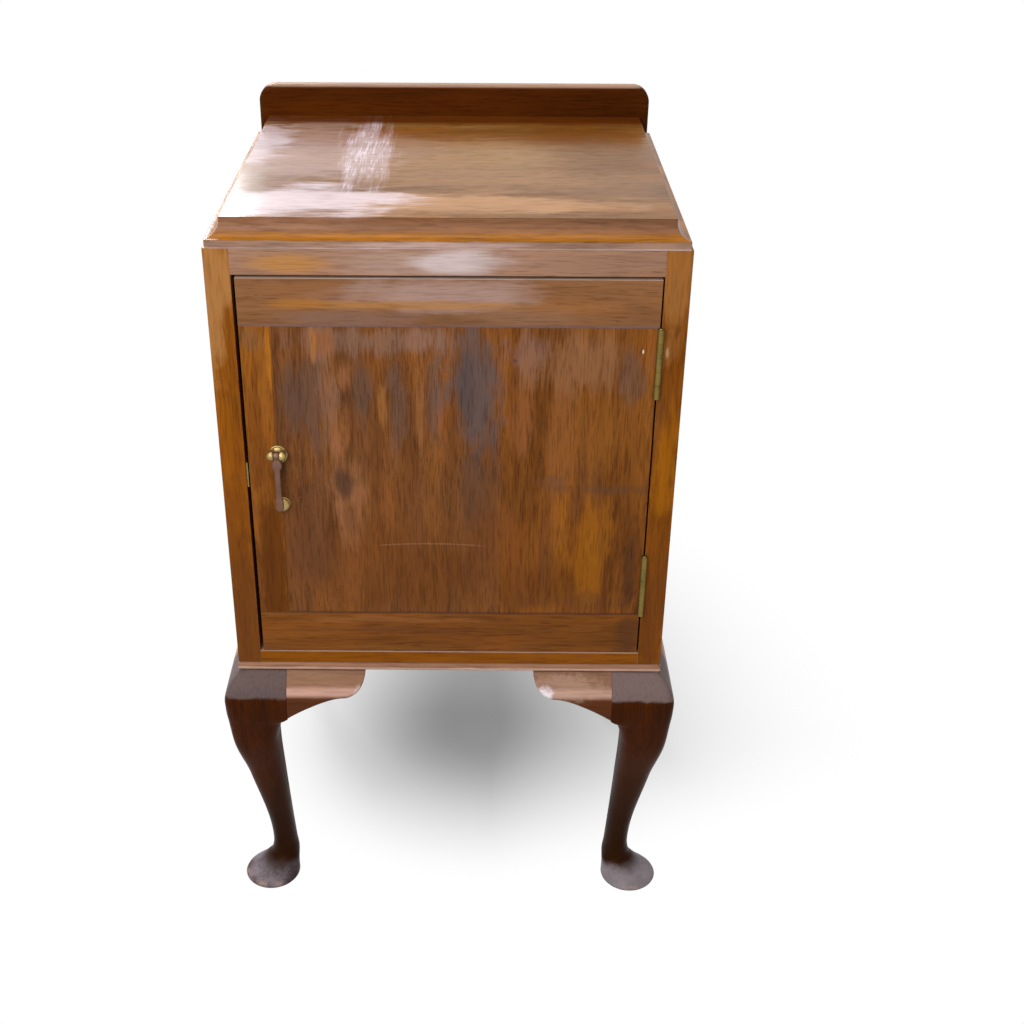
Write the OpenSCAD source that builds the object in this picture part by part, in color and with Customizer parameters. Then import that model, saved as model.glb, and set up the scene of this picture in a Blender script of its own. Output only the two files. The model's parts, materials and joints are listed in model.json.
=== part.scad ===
// Bedside pot cupboard: a one-door case on four cabriole legs, with a low gallery behind its top.
// Millimetres. X runs to the right, Y to the back and Z up. The door faces -Y.
// The origin is on the floor, under the middle of the case.

/* [Case] */
// Width over the two side boards
case_w = 400; // [360:5:460]
// Depth of the side boards, front edge to back edge
case_d = 353; // [320:1:400]
// Height of the side boards
side_h = 408.5; // [380:0.5:460]
// Thickness of the side boards
side_t = 21.5; // [18:0.5:26]
// Thickness of the bottom board
bottom_t = 13; // [11:0.5:18]
// Height of the rails under the top, front and back
rail_h = 22.5; // [18:0.5:30]
// Thickness of those rails, front to back
rail_t = 20; // [16:0.5:26]
// Thickness of the back panel
back_t = 5; // [4:0.5:8]
// Width of the rebate in each side board that takes the back panel
rebate_w = 9; // [6:0.5:12]

/* [Base moulding] */
// Height of the moulding between the case and the legs
base_t = 10; // [8:0.5:12]
// How far the moulding stands out past the case
base_out = 1.4; // [0.5:0.1:4]
// Width of the moulding's strips, seen from above
base_strip_w = 50; // [47:1:60]

/* [Top] */
// Thickness of the top board
top_t = 22.8; // [19:0.2:26]
// How far the top board's ends stand in from the side boards
top_in = 2; // [0:0.5:5]
// Radius of the hollow worked along the top board's front and ends
cove_r = 12.4; // [8:0.2:14]
// Height of the plain edge left under the hollow
nose_h = 7; // [4:0.2:9]
// How far the hollow's centre lies outside the plain edge
cove_out = 1; // [0:0.1:3]
// Thickness of the gallery board behind the top
gallery_t = 13; // [9:0.5:18]
// Height of the gallery board above the top board
gallery_rise = 30.8; // [22:0.2:60]
// How far the gallery's ends stand in from the side boards
gallery_in = 4; // [0:0.5:10]
// Radius of the gallery's two upper corners
gallery_r = 17; // [5:1:24]
// Radius that rounds the gallery's upper edge at the front
gallery_round = 4; // [3:0.5:6]
// Radius that rounds the gallery's upper edge at the back
gallery_back_round = 2; // [1:0.5:2.5]

/* [Shelf] */
// Thickness of the shelf
shelf_t = 12; // [9:0.5:18]
// Height of the shelf's upper face above the bottom board
shelf_up = 190; // [120:5:250]
// Distance of the shelf's front edge behind the door
shelf_back = 12; // [6:1:60]
// Height of the strips that carry the shelf
bearer_h = 18; // [12:1:30]
// Thickness of those strips
bearer_t = 12; // [9:0.5:18]

/* [Door] */
// Thickness of the door
door_t = 19; // [16:0.5:24]
// Gap between the door and the side board at its free edge
gap_free = 3.2; // [2:0.1:4]
// Gap between the door and the side board at its hinges
gap_hinge = 1.6; // [1:0.1:2]
// Gap over the door
gap_top = 2.5; // [1:0.1:4]
// Gap under the door
gap_foot = 1; // [0.6:0.1:3]
// Height of the cross pieces along the door's top and foot
cleat_h = 42.5; // [30:0.5:70]
// Width of the narrow board at the door's free edge
board_left_w = 27; // [15:1:60]
// Width of the board at the door's hinges
board_right_w = 130; // [90:5:170]
// Length of the tongues that join the boards to the cross pieces
tongue_l = 8; // [5:0.5:12]
// Thickness of those tongues
tongue_t = 6; // [4:0.5:8]

/* [Hinges] */
// Length of each hinge
hinge_l = 63.5; // [50:0.5:80]
// Width of a hinge leaf behind the door's face
leaf_w = 16; // [12:0.5:18]
// Thickness of a hinge leaf
leaf_t = 1.2; // [1:0.1:2]
// Radius of the hinge's knuckles
knuckle_r = 2.75; // [2.5:0.05:3.5]
// Distance of the hinge pin in front of the door's face
pin_out = 2; // [1.6:0.1:2.4]
// Radius of the hinge pin
pin_r = 1.2; // [1:0.05:1.4]
// Length of the hinge screws
hinge_screw_l = 13; // [9:0.5:18]

/* [Pull] */
// Distance of the pull from the door's free edge
pull_in = 26; // [20:1:50]
// Height of the pull's pivot above the middle of the door
pull_up = 25.8; // [-60:0.2:100]
// Distance of the pivot in front of the door
pull_out = 9.6; // [8.5:0.1:12]
// Length of the drop below its pivot
drop_l = 55.6; // [45:0.2:80]
// Thickness of the drop
drop_t = 3.4; // [2.6:0.1:4]
// Width of the drop's bar
drop_w = 5.2; // [4:0.1:5.6]
// Width of the drop's rounded head
drop_head = 9; // [7:0.1:11]
// Width of the drop's rounded tip
drop_tip = 7.3; // [6:0.1:9]
// Radius of the two balls that hold the drop's pivot
ball_r = 4.2; // [3.8:0.1:5]
// Radius of the pull's round back plate
plate_r = 8.6; // [8.4:0.1:11]
// Distance of the back plate's middle below the pivot
plate_drop = 3; // [0:0.2:3]
// Radius of the stud that the drop rests on
stud_r = 6.6; // [4:0.1:7]
// Distance of the stud to the right of the pull's middle
stud_side = 1.8; // [-2:0.1:2]

/* [Catch] */
// Radius of the catch's ball
catch_r = 3; // [2.5:0.1:3.5]
// Outer radius of the catch's barrel
barrel_r = 4.2; // [4.1:0.1:5]
// Length of the catch's barrel
barrel_l = 14; // [12:0.5:16]
// Thickness of the strike plate
strike_t = 1.2; // [0.8:0.1:1.4]

/* [Legs] */
// Height of the legs, floor to base moulding
leg_h = 269; // [200:1:340]
// Width of the square block at a leg's head
block_w = 45; // [40:1:46]
// How far the knee stands out past the case
knee_out = 16; // [8:0.5:22]
// Distance of the knee's fullest part below the leg's head
knee_drop = 31; // [26:1:40]
// Height of the ankle's slimmest part above the floor
ankle_up = 37; // [33:1:48]
// How far the ankle's outer face stands in from the case
ankle_in = 15; // [8:0.5:20]
// Width of the ankle
ankle_w = 24.5; // [20:0.5:30]
// Width of the foot across its rim
foot_w = 56; // [50:1:64]
// How far the foot's rim stands out past the case
foot_out = 14; // [10:0.5:18]
// Height of the foot's rim above the floor
rim_up = 4; // [2:0.5:6]

/* [Brackets] */
// Length of the shaped brackets beside the legs
bracket_l = 75; // [50:1:90]
// Thickness of the brackets behind the case's face
bracket_t = 20; // [14:1:26]
// Depth of a bracket where it meets the leg
bracket_root = 47; // [40:1:52]
// Depth of a bracket where its rounded tip begins
bracket_waist = 24; // [18:1:32]
// Length of a bracket's rounded tip
bracket_tip = 22; // [14:1:30]

/* [Fixings] */
// Radius of the dowels in the legs' heads
dowel_r = 4; // [3:0.5:5]
// Depth of the dowels in a leg
dowel_down = 14; // [10:1:20]
// Depth of the dowels in the board above
dowel_up = 10; // [6:1:10.5]
// Radius of the screws that hold the top and the gallery
screw_r = 2; // [1.5:0.1:2.5]
// Length of the screws that hold the top
top_screw_l = 32; // [28:1:36]
// Length of the screws that hold the gallery
gallery_screw_l = 38; // [30:1:50]

/* [Hidden] */
$fn = 48;
eps = 0.05;
slip = 0.1;            // running clearance on a radius, and beside a knuckle
rest_gap = 0.3;        // space left between a curved face and what it rests on
fit_gap = 0.2;         // slack of a tongue in its groove

half_w = case_w / 2;
in_x = half_w - side_t;                  // inner face of a side board
base_z = leg_h;
case_z = base_z + base_t;
top_z = case_z + side_h;
bottom_top = case_z + bottom_t;
rail_z = top_z - rail_h;
inner_d = case_d - back_t;               // depth in front of the back panel
top_d = case_d - gallery_t;
shelf_z = bottom_top + shelf_up - shelf_t;
front_y = -case_d / 2;                   // the case's front face, from the origin

door_x0 = -in_x + gap_free;
door_x1 = in_x - gap_hinge;
door_w = door_x1 - door_x0;
door_z0 = bottom_top + gap_foot;
door_z1 = rail_z - gap_top;
door_mid = (door_z0 + door_z1) / 2;
panel_z0 = door_z0 + cleat_h;
panel_z1 = door_z1 - cleat_h;

pin_x = in_x - gap_hinge / 2;
hinge_z = [panel_z0, panel_z1 - hinge_l];   // each hinge starts where a cross piece ends
knuckles = 5;
knuckle_l = hinge_l / knuckles;
leaf_y0 = -0.3;                          // front edge of a leaf, inside the knuckle's wall
leaf_x = gap_hinge / 2;                  // face of a leaf, from the pin
hinge_screws = [0.14, 0.5, 0.86];        // places of the screws along a leaf
hinge_screw_r = 1.4;
hinge_head_r = 2.7;

pull_x = door_x0 + pull_in;
pull_z = door_mid + pull_up;
stud_x = pull_x + stud_side;
plate_z = pull_z - plate_drop;
stud_z = pull_z - drop_l + drop_tip * 0.45;
post_r = 2;
pivot_r = 1.2;
eye_r = pivot_r + 2.4;
slot_w = drop_w + 2 * slip + 0.2;
ball_x = slot_w / 2 + 1.8;               // centre of each ball, from the pull's middle
nut_r = 5;
nut_t = 3;

catch_z = door_mid;
catch_out = gap_free - strike_t - rest_gap;
catch_y = door_t / 2;
strike_h = 24;
strike_w = 12;

// ---------------------------------------------------------------- helpers

// Everything is drawn from the case's front face, and set over the origin here
module placed() {
    translate([0, front_y, 0]) children();
}

module box(x0, x1, y0, y1, z0, z1) {
    translate([x0, y0, z0]) cube([x1 - x0, y1 - y0, z1 - z0]);
}

// A round bar along X, from x0 to x1
module bar_x(x0, x1, y, z, r) {
    translate([x0, y, z]) rotate([0, 90, 0]) cylinder(r = r, h = x1 - x0);
}

// A round bar along Y, from y0 to y1
module bar_y(x, y0, y1, z, r) {
    translate([x, y0, z]) rotate([-90, 0, 0]) cylinder(r = r, h = y1 - y0);
}

// A wood screw along +Z with its flat head's face at the origin
module screw(r, head_r, l) {
    head_h = head_r - r;
    cylinder(r1 = head_r, r2 = r, h = head_h);
    translate([0, 0, head_h - eps]) cylinder(r = r, h = l - head_h + eps);
}

// The hole for such a screw
module screw_hole(r, head_r, l) {
    translate([0, 0, -eps]) cylinder(r = head_r + slip, h = eps * 2);
    screw(r + slip, head_r + slip, l + slip);
}

module flip_x() {
    children();
    mirror([1, 0, 0]) children();
}

module flip_y() {
    children();
    translate([0, case_d, 0]) mirror([0, 1, 0]) children();
}

// ---------------------------------------------------------------- smooth lines through stations

// A line is a list of stations [place, value, value ...], and k picks the value
function rise(line, i, k) = (line[i + 1][k] - line[i][k]) / (line[i + 1][0] - line[i][0]);

// Slope at a station: level at a peak or a hollow, and otherwise between its two neighbours' slopes
function slope(line, i, k) =
    i == 0 ? rise(line, 0, k)
    : i == len(line) - 1 ? rise(line, i - 1, k)
    : let (a = rise(line, i - 1, k), b = rise(line, i, k)) a * b <= 0 ? 0 : 2 * a * b / (a + b);

function station(line, p, i = 0) =
    i >= len(line) - 2 || p <= line[i + 1][0] ? i : station(line, p, i + 1);

function along(line, p, k) =
    let (
        i = station(line, p),
        span = line[i + 1][0] - line[i][0],
        t = (p - line[i][0]) / span,
        m0 = slope(line, i, k) * span,
        m1 = slope(line, i + 1, k) * span
    )
    (2 * pow(t, 3) - 3 * pow(t, 2) + 1) * line[i][k] + (pow(t, 3) - 2 * pow(t, 2) + t) * m0
    + (3 * pow(t, 2) - 2 * pow(t, 3)) * line[i + 1][k] + (pow(t, 3) - pow(t, 2)) * m1;

// ---------------------------------------------------------------- legs

// Stations up a leg: height, outer face and inner face measured in from the case, and squareness
ankle_back = ankle_in + ankle_w;
foot_in = foot_w - foot_out;
knee_z = leg_h - knee_drop;
root_z = leg_h - bracket_root;
leg_line = [
    [0, 3 - foot_out, foot_in - 3, 2],
    [rim_up, -foot_out, foot_in, 2],
    [rim_up + 9, ankle_in * 0.1, foot_in - 1, 2],
    [rim_up + 19, ankle_in * 0.85, ankle_back + 1.6, 2],
    [ankle_up, ankle_in, ankle_back, 2.1],
    [(ankle_up + knee_z) / 2, (ankle_in - knee_out) / 2, ankle_back - 5.5, 3],
    [knee_z - 52, ankle_in - (ankle_in + knee_out) * 0.86, ankle_back - 7.5, 4.5],
    [root_z - 5, -knee_out * 0.93, block_w - 5, 6],
    [root_z, -knee_out * 0.97, block_w, 7],
    [knee_z, -knee_out, block_w, 9],
    [leg_h - 16, -knee_out * 0.76, block_w, 11],
    [leg_h, 0, block_w, 14]
];

function out_at(z) = along(leg_line, z, 1);
function in_at(z) = along(leg_line, z, 2);

// The rings lie closer together in the foot and the knee
ring_steps = [[0, rim_up, 2], [rim_up, ankle_up, 9], [ankle_up, knee_z - 52, 8], [knee_z - 52, leg_h, 14]];
ring_z = concat([0], [for (s = ring_steps) for (i = [1 : s[2]]) s[0] + (s[1] - s[0]) * i / s[2]]);
ring_points = 24;

function squared(c, n) = sign(c) * pow(abs(c), 2 / n);

// One ring of a leg: x and y are measured in from the case's corner
function ring(z) =
    let (
        out = out_at(z),
        mid = (out + in_at(z)) / 2,
        half = mid - out,
        n = along(leg_line, z, 3)
    )
    [for (i = [0 : ring_points - 1]) let (a = i * 360 / ring_points)
        [mid + half * squared(cos(a), n), mid + half * squared(sin(a), n), z]];

// Closed skin round a stack of rings that run counter-clockwise and upwards
module skin(rings) {
    n = len(rings[0]);
    m = len(rings);
    points = [for (r = rings) for (p = r) p];
    sides = [for (j = [0 : m - 2]) for (i = [0 : n - 1]) let (k = (i + 1) % n)
        each [[j * n + i, (j + 1) * n + k, j * n + k], [j * n + i, (j + 1) * n + i, (j + 1) * n + k]]];
    foot = [for (i = [1 : n - 2]) [0, i, i + 1]];
    head = [for (i = [1 : n - 2]) [(m - 1) * n, (m - 1) * n + i + 1, (m - 1) * n + i]];
    polyhedron(points = points, faces = concat(foot, sides, head));
}

// Places of a leg's two dowels, in from the case's corner: one under the side board, one under the bottom
dowel_at = [[side_t / 2, block_w * 0.7], [side_t + (block_w - side_t) / 2, block_w * 0.3]];

module dowel_bars(r, below, above) {
    for (p = dowel_at)
        translate([p[0] - half_w, p[1], leg_h - below]) cylinder(r = r, h = below + above);
}

module leg_front_left_shape() {
    difference() {
        translate([-half_w, 0, 0]) skin([for (z = ring_z) ring(z)]);
        dowel_bars(dowel_r, dowel_down, eps);
    }
}

module leg_front_left() {
    color("#3a1c10") placed() leg_front_left_shape();
}

module leg_front_right() {
    color("#3a1c10") placed() mirror([1, 0, 0]) leg_front_left_shape();
}

module leg_rear_left() {
    color("#3a1c10") placed() translate([0, case_d, 0]) mirror([0, 1, 0]) leg_front_left_shape();
}

module leg_rear_right() {
    color("#3a1c10") placed() translate([0, case_d, 0]) mirror([0, 1, 0]) mirror([1, 0, 0])
        leg_front_left_shape();
}

module leg_dowels() {
    color("#a9794a") placed() flip_x() flip_y() dowel_bars(dowel_r, dowel_down, base_t + dowel_up);
}

// ---------------------------------------------------------------- brackets

// Section through a bracket: its face follows the legs' knees
bracket_steps = 10;
bracket_face = [for (i = [0 : bracket_steps]) let (z = leg_h - bracket_root * i / bracket_steps)
    [out_at(z), z]];

// Lower edge of a bracket, from its tip to the leg: x is the distance from the tip
function bracket_drop(x) =
    x < bracket_tip
        ? bracket_waist * sqrt(1 - pow(1 - x / bracket_tip, 2))
        : bracket_waist + (bracket_root - bracket_waist)
            * pow((x - bracket_tip) / (bracket_l - bracket_tip), 1.6);

bracket_edge = concat(
    [for (a = [0 : 15 : 90]) bracket_tip * (1 - cos(a))],
    [for (i = [1 : 7]) bracket_tip + (bracket_l - bracket_tip) * i / 7]
);

// The bracket to the right of the front left leg
module bracket_shape() {
    intersection() {
        translate([block_w - half_w, 0, 0]) rotate([90, 0, 90])
            linear_extrude(height = bracket_l)
                polygon(concat(bracket_face, [[bracket_t, leg_h - bracket_root], [bracket_t, leg_h]]));
        translate([block_w + bracket_l - half_w, bracket_t + eps, 0]) rotate([90, 0, 0])
            linear_extrude(height = bracket_t + knee_out + 2 * eps)
                polygon(concat([[-bracket_l, leg_h]],
                    [for (i = [len(bracket_edge) - 1 : -1 : 0])
                        [-bracket_edge[i], leg_h - bracket_drop(bracket_edge[i])]]));
    }
}

// The same bracket turned to run back from that leg, along the case's side
module side_bracket_shape() {
    translate([-half_w, 0, 0]) mirror([1, -1, 0]) translate([half_w, 0, 0]) bracket_shape();
}

module bracket_front_left() {
    color("#7d3f20") placed() bracket_shape();
}

module bracket_front_right() {
    color("#7d3f20") placed() mirror([1, 0, 0]) bracket_shape();
}

module bracket_side_left_front() {
    color("#6e371d") placed() side_bracket_shape();
}

module bracket_side_left_rear() {
    color("#6e371d") placed() translate([0, case_d, 0]) mirror([0, 1, 0]) side_bracket_shape();
}

module bracket_side_right_front() {
    color("#6e371d") placed() mirror([1, 0, 0]) side_bracket_shape();
}

module bracket_side_right_rear() {
    color("#6e371d") placed() translate([0, case_d, 0]) mirror([0, 1, 0]) mirror([1, 0, 0])
        side_bracket_shape();
}

// ---------------------------------------------------------------- base moulding

base_r = base_t / 2;

// A strip with a rounded outer edge, along X, its outer edge at y = -base_out
module base_strip(l) {
    translate([-l / 2, 0, base_z]) rotate([90, 0, 90]) linear_extrude(height = l) {
        translate([base_r - base_out, base_r]) circle(r = base_r);
        translate([base_r - base_out, 0]) square([base_strip_w - base_r, base_t]);
    }
}

// The wedge of plan that belongs to the front strip: it ends in mitres at the front corners
module front_mitre() {
    translate([0, 0, base_z - 1]) linear_extrude(height = base_t + 2)
        polygon([
            [-half_w - base_out, -base_out],
            [half_w + base_out, -base_out],
            [half_w - base_strip_w, base_strip_w],
            [base_strip_w - half_w, base_strip_w]
        ]);
}

module base_moulding_front() {
    color("#8a4a22") placed() difference() {
        intersection() {
            base_strip(case_w + 2 * base_out);
            front_mitre();
        }
        flip_x() dowel_bars(dowel_r, eps, base_t + eps);
    }
}

module base_side_shape() {
    difference() {
        translate([-half_w, 0, 0]) mirror([1, -1, 0])
            translate([(case_d - base_out) / 2, 0, 0]) base_strip(case_d + base_out);
        front_mitre();
        flip_y() dowel_bars(dowel_r, eps, base_t + eps);
    }
}

module base_moulding_left() {
    color("#84461f") placed() base_side_shape();
}

module base_moulding_right() {
    color("#84461f") placed() mirror([1, 0, 0]) base_side_shape();
}

module base_strip_back() {
    color("#7a4524") placed()
        box(base_strip_w - base_out - half_w, half_w + base_out - base_strip_w,
            case_d - base_strip_w, case_d, base_z, case_z);
}

// ---------------------------------------------------------------- case

module side_shape() {
    difference() {
        box(-half_w, -in_x, 0, case_d, case_z, top_z);
        box(-in_x - rebate_w, -in_x + 1, inner_d, case_d + 1, case_z - 1, top_z + 1);
        flip_y() dowel_bars(dowel_r, eps, base_t + dowel_up);
        bearer_screws(true);
    }
}

module side_left() {
    color("#8f5426") placed() difference() {
        side_shape();
        strike_pins_shape(strike_pin_r + slip);
    }
}

// The side board that carries the hinges
module side_right() {
    color("#8f5426") placed() difference() {
        mirror([1, 0, 0]) side_shape();
        knuckle_chases();
        case_leaf_seats();
        hinge_screw_bars(1, true);
    }
}

module bottom_board() {
    color("#a35a20") placed() difference() {
        box(-in_x, in_x, 0, inner_d, case_z, bottom_top);
        flip_x() flip_y() dowel_bars(dowel_r, eps, base_t + dowel_up);
        back_pin_bars(pin_hole_r);
    }
}

module top_rail() {
    color("#8a5230") placed() difference() {
        box(-in_x, in_x, 0, rail_t, rail_z, top_z);
        top_screw_bars(true, [rail_t / 2]);
    }
}

module back_rail() {
    color("#8a5a36") placed() difference() {
        box(-in_x, in_x, inner_d - rail_t, inner_d, rail_z, top_z);
        top_screw_bars(true, [back_screw_y]);
        back_pin_bars(pin_hole_r);
    }
}

back_slack = 0.3;

module back_panel() {
    color("#9c7348") placed() difference() {
        box(back_slack - in_x - rebate_w, in_x + rebate_w - back_slack, inner_d, case_d, case_z, top_z);
        back_pin_bars(pin_hole_r);
    }
}

// Small pins that hold the back panel to the bottom board and the back rail
back_pin_r = 0.9;
pin_hole_r = back_pin_r + slip;
back_pin_l = 16;
back_pin_x = [for (i = [-2 : 2]) i * (in_x - 20) / 2];

module back_pin_bars(r) {
    for (x = back_pin_x, z = [case_z + bottom_t / 2, top_z - rail_h / 2])
        bar_y(x, case_d - back_pin_l, case_d + eps, z, r);
}

module back_panel_pins() {
    color("#7a7a76") placed() intersection() {
        back_pin_bars(back_pin_r);
        box(-half_w, half_w, 0, case_d, case_z, top_z);
    }
}

// ---------------------------------------------------------------- top and gallery

// Everything outside the worked edge, in section: x runs in from the plain edge, y up from the underside
module cove_outside() {
    centre_y = nose_h + sqrt(pow(cove_r, 2) - pow(cove_out, 2));
    translate([-cove_out, centre_y]) circle(r = cove_r);
    translate([-cove_out - cove_r, centre_y]) square([2 * cove_r, top_t + cove_r]);
}

module top_board() {
    x1 = half_w - top_in;
    color("#8b5026") placed() difference() {
        box(-x1, x1, 0, top_d, top_z, top_z + top_t);
        translate([-half_w, 0, top_z]) rotate([90, 0, 90])
            linear_extrude(height = case_w) cove_outside();
        flip_x() translate([-x1, case_d, top_z]) rotate([90, 0, 0])
            linear_extrude(height = case_d + 1) cove_outside();
        top_screw_bars(true, [rail_t / 2, back_screw_y]);
        gallery_screw_bars(true);
    }
}

// Plan places of the screws that come up through the two rails
screw_head_r = 4;
back_screw_y = inner_d - rail_t * 0.75;
top_screw_x = in_x * 0.6;

module top_screw_bars(hole, rows) {
    for (x = [-top_screw_x, top_screw_x], y = rows)
        translate([x, y, rail_z])
            if (hole) screw_hole(screw_r, screw_head_r, top_screw_l);
            else screw(screw_r, screw_head_r, top_screw_l);
}

module top_screws() {
    color("#6f6a62") placed() top_screw_bars(false, [rail_t / 2, back_screw_y]);
}

gallery_x = half_w - gallery_in;
gallery_h = top_t + gallery_rise;

// The gallery as it is seen from the front
module gallery_front_outline() {
    translate([-gallery_x, 0]) square([2 * gallery_x, gallery_h - gallery_r]);
    translate([gallery_r - gallery_x, 0]) square([2 * (gallery_x - gallery_r), gallery_h]);
    for (s = [-1, 1])
        translate([s * (gallery_x - gallery_r), gallery_h - gallery_r]) circle(r = gallery_r);
}

// The gallery as it is seen from its end: x runs from its front face to its back
module gallery_end_outline() {
    front_z = gallery_h - gallery_round;
    back_z = gallery_h - gallery_back_round;
    square([gallery_t, front_z]);
    translate([gallery_round, 0]) square([gallery_t - gallery_round, back_z]);
    translate([gallery_round, 0])
        square([gallery_t - gallery_round - gallery_back_round, gallery_h]);
    translate([gallery_round, front_z]) circle(r = gallery_round);
    translate([gallery_t - gallery_back_round, back_z]) circle(r = gallery_back_round);
}

module gallery() {
    color("#4a2614") placed() difference() {
        intersection() {
            translate([0, case_d, top_z]) rotate([90, 0, 0])
                linear_extrude(height = gallery_t) gallery_front_outline();
            translate([-gallery_x - 1, case_d - gallery_t, top_z]) rotate([90, 0, 90])
                linear_extrude(height = 2 * gallery_x + 2) gallery_end_outline();
        }
        gallery_screw_bars(true);
    }
}

gallery_screw_x = [-in_x * 0.75, 0, in_x * 0.75];

module gallery_screw_bars(hole) {
    for (x = gallery_screw_x)
        translate([x, case_d, top_z + nose_h]) rotate([90, 0, 0])
            if (hole) screw_hole(screw_r, screw_head_r, gallery_screw_l);
            else screw(screw_r, screw_head_r, gallery_screw_l);
}

module gallery_screws() {
    color("#6f6a62") placed() gallery_screw_bars(false);
}

// ---------------------------------------------------------------- shelf

shelf_slack = 0.5;
bearer_y0 = door_t + shelf_back;
bearer_screw_r = 1.6;
bearer_head_r = 3.2;
bearer_bite = 14;

module shelf() {
    color("#9a6234") placed()
        box(shelf_slack - in_x, in_x - shelf_slack, door_t + shelf_back, inner_d - shelf_slack,
            shelf_z, shelf_z + shelf_t);
}

module bearer_screws(hole) {
    for (t = [0.15, 0.85])
        translate([bearer_t - in_x, bearer_y0 + t * (inner_d - bearer_y0), shelf_z - bearer_h / 2])
            rotate([0, -90, 0])
                if (hole) screw_hole(bearer_screw_r, bearer_head_r, bearer_t + bearer_bite);
                else screw(bearer_screw_r, bearer_head_r, bearer_t + bearer_bite);
}

module bearer_shape() {
    difference() {
        box(-in_x, bearer_t - in_x, bearer_y0, inner_d - shelf_slack, shelf_z - bearer_h, shelf_z);
        bearer_screws(true);
    }
}

module shelf_bearer_left() {
    color("#94643a") placed() bearer_shape();
}

module shelf_bearer_right() {
    color("#94643a") placed() mirror([1, 0, 0]) bearer_shape();
}

module shelf_bearer_screws() {
    color("#6f6a62") placed() flip_x() bearer_screws(false);
}

// Small block under the front rail that the closed door rests against
stop_w = 30;
stop_h = 14;
stop_t = 14;

module door_stop() {
    color("#8a5a36") placed()
        box(-in_x, stop_w - in_x, door_t + rest_gap, door_t + rest_gap + stop_t,
            rail_z - stop_h, rail_z);
}

// ---------------------------------------------------------------- door

tongue_y0 = (door_t - tongue_t) / 2;

// One upright board of the door, with a tongue at its head and its foot
module door_board(x0, x1) {
    difference() {
        union() {
            box(x0, x1, 0, door_t, panel_z0, panel_z1);
            box(x0, x1, tongue_y0, tongue_y0 + tongue_t, panel_z0 - tongue_l, panel_z1 + tongue_l);
        }
        door_cuts();
    }
}

// One cross piece of the door, with a groove for the boards' tongues
module door_cleat(z0, groove_z) {
    difference() {
        box(door_x0, door_x1, 0, door_t, z0, z0 + cleat_h);
        box(door_x0 - 1, door_x1 + 1, tongue_y0 - fit_gap / 2, tongue_y0 + tongue_t + fit_gap / 2,
            groove_z, groove_z + tongue_l + fit_gap + eps);
        door_cuts();
    }
}

// What is let into the door: the hinges, the pull's post, the stud's spike and the catch
module door_cuts() {
    knuckle_chases();
    door_leaf_seats();
    hinge_screw_bars(-1, true);
    bar_y(pull_x, -1, door_t + 1, plate_z, post_r + slip);
    bar_y(stud_x, -1, stud_spike, stud_z, stud_spike_r + slip);
    bar_x(door_x0 - 1, door_x0 + barrel_l, catch_y, catch_z, barrel_r + slip);
}

module door_board_left() {
    color("#9c5a24") placed() door_board(door_x0, door_x0 + board_left_w);
}

module door_board_middle() {
    color("#6d3a1c") placed() door_board(door_x0 + board_left_w, door_x1 - board_right_w);
}

module door_board_right() {
    color("#8a4a1f") placed() door_board(door_x1 - board_right_w, door_x1);
}

module door_cleat_top() {
    color("#855030") placed() door_cleat(door_z1 - cleat_h, panel_z1 - eps);
}

module door_cleat_bottom() {
    color("#6f3c1c") placed() door_cleat(door_z0, panel_z0 - tongue_l - fit_gap);
}

// ---------------------------------------------------------------- hinges

// Knuckles first, first + 2 ... of one hinge, as plain bars of radius r
module knuckle_bars(z, first, r, grow) {
    for (k = [first : 2 : knuckles - 1])
        translate([pin_x, -pin_out, z + k * knuckle_l + slip - grow])
            cylinder(r = r, h = knuckle_l - 2 * slip + 2 * grow);
}

// Hollows in the door's edge and the side board that the knuckles turn in
module knuckle_chases() {
    for (z = hinge_z)
        translate([pin_x, -pin_out, z - slip]) cylinder(r = knuckle_r + rest_gap, h = hinge_l + 2 * slip);
}

module case_leaf_seats() {
    for (z = hinge_z) leaf_plate(z, 1, 0);
}

module door_leaf_seats() {
    for (z = hinge_z) leaf_plate(z, -1, 0);
}

// Flat plate of one leaf: side is 1 on the case and -1 on the door
module leaf_plate(z, side, front) {
    x0 = side > 0 ? pin_x + leaf_x : pin_x - leaf_x - leaf_t;
    box(x0, x0 + leaf_t, front, leaf_w, z, z + hinge_l);
}

module hinge_screw_bars(side, hole) {
    for (z = hinge_z, t = hinge_screws)
        translate([pin_x + side * leaf_x, leaf_w * 0.58, z + t * hinge_l])
            rotate([0, side * 90, 0])
                if (hole) screw_hole(hinge_screw_r, hinge_head_r, hinge_screw_l);
                else screw(hinge_screw_r, hinge_head_r, hinge_screw_l);
}

// One leaf of the hinge at height z; its knuckles start at number first
module hinge_leaf(z, side, first) {
    difference() {
        union() {
            leaf_plate(z, side, leaf_y0);
            knuckle_bars(z, first, knuckle_r, 0);
        }
        knuckle_bars(z, 1 - first, knuckle_r + rest_gap, slip * 2);
        translate([pin_x, -pin_out, z - 1]) cylinder(r = pin_r + slip / 2, h = hinge_l + 2);
        hinge_screw_bars(side, true);
    }
}

// The pin has a small flat head at its upper end
module hinge_pin(z) {
    translate([pin_x, -pin_out, z]) {
        cylinder(r = pin_r, h = hinge_l + slip);
        translate([0, 0, hinge_l + slip - eps]) cylinder(r1 = pin_r + 0.8, r2 = pin_r + 0.4, h = 0.9);
    }
}

module hinge_lower_case_leaf() {
    color("#8f7a3e") placed() hinge_leaf(hinge_z[0], 1, 0);
}

module hinge_lower_door_leaf() {
    color("#a08a4a") placed() hinge_leaf(hinge_z[0], -1, 1);
}

module hinge_lower_pin() {
    color("#b39a55") placed() hinge_pin(hinge_z[0]);
}

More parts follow.
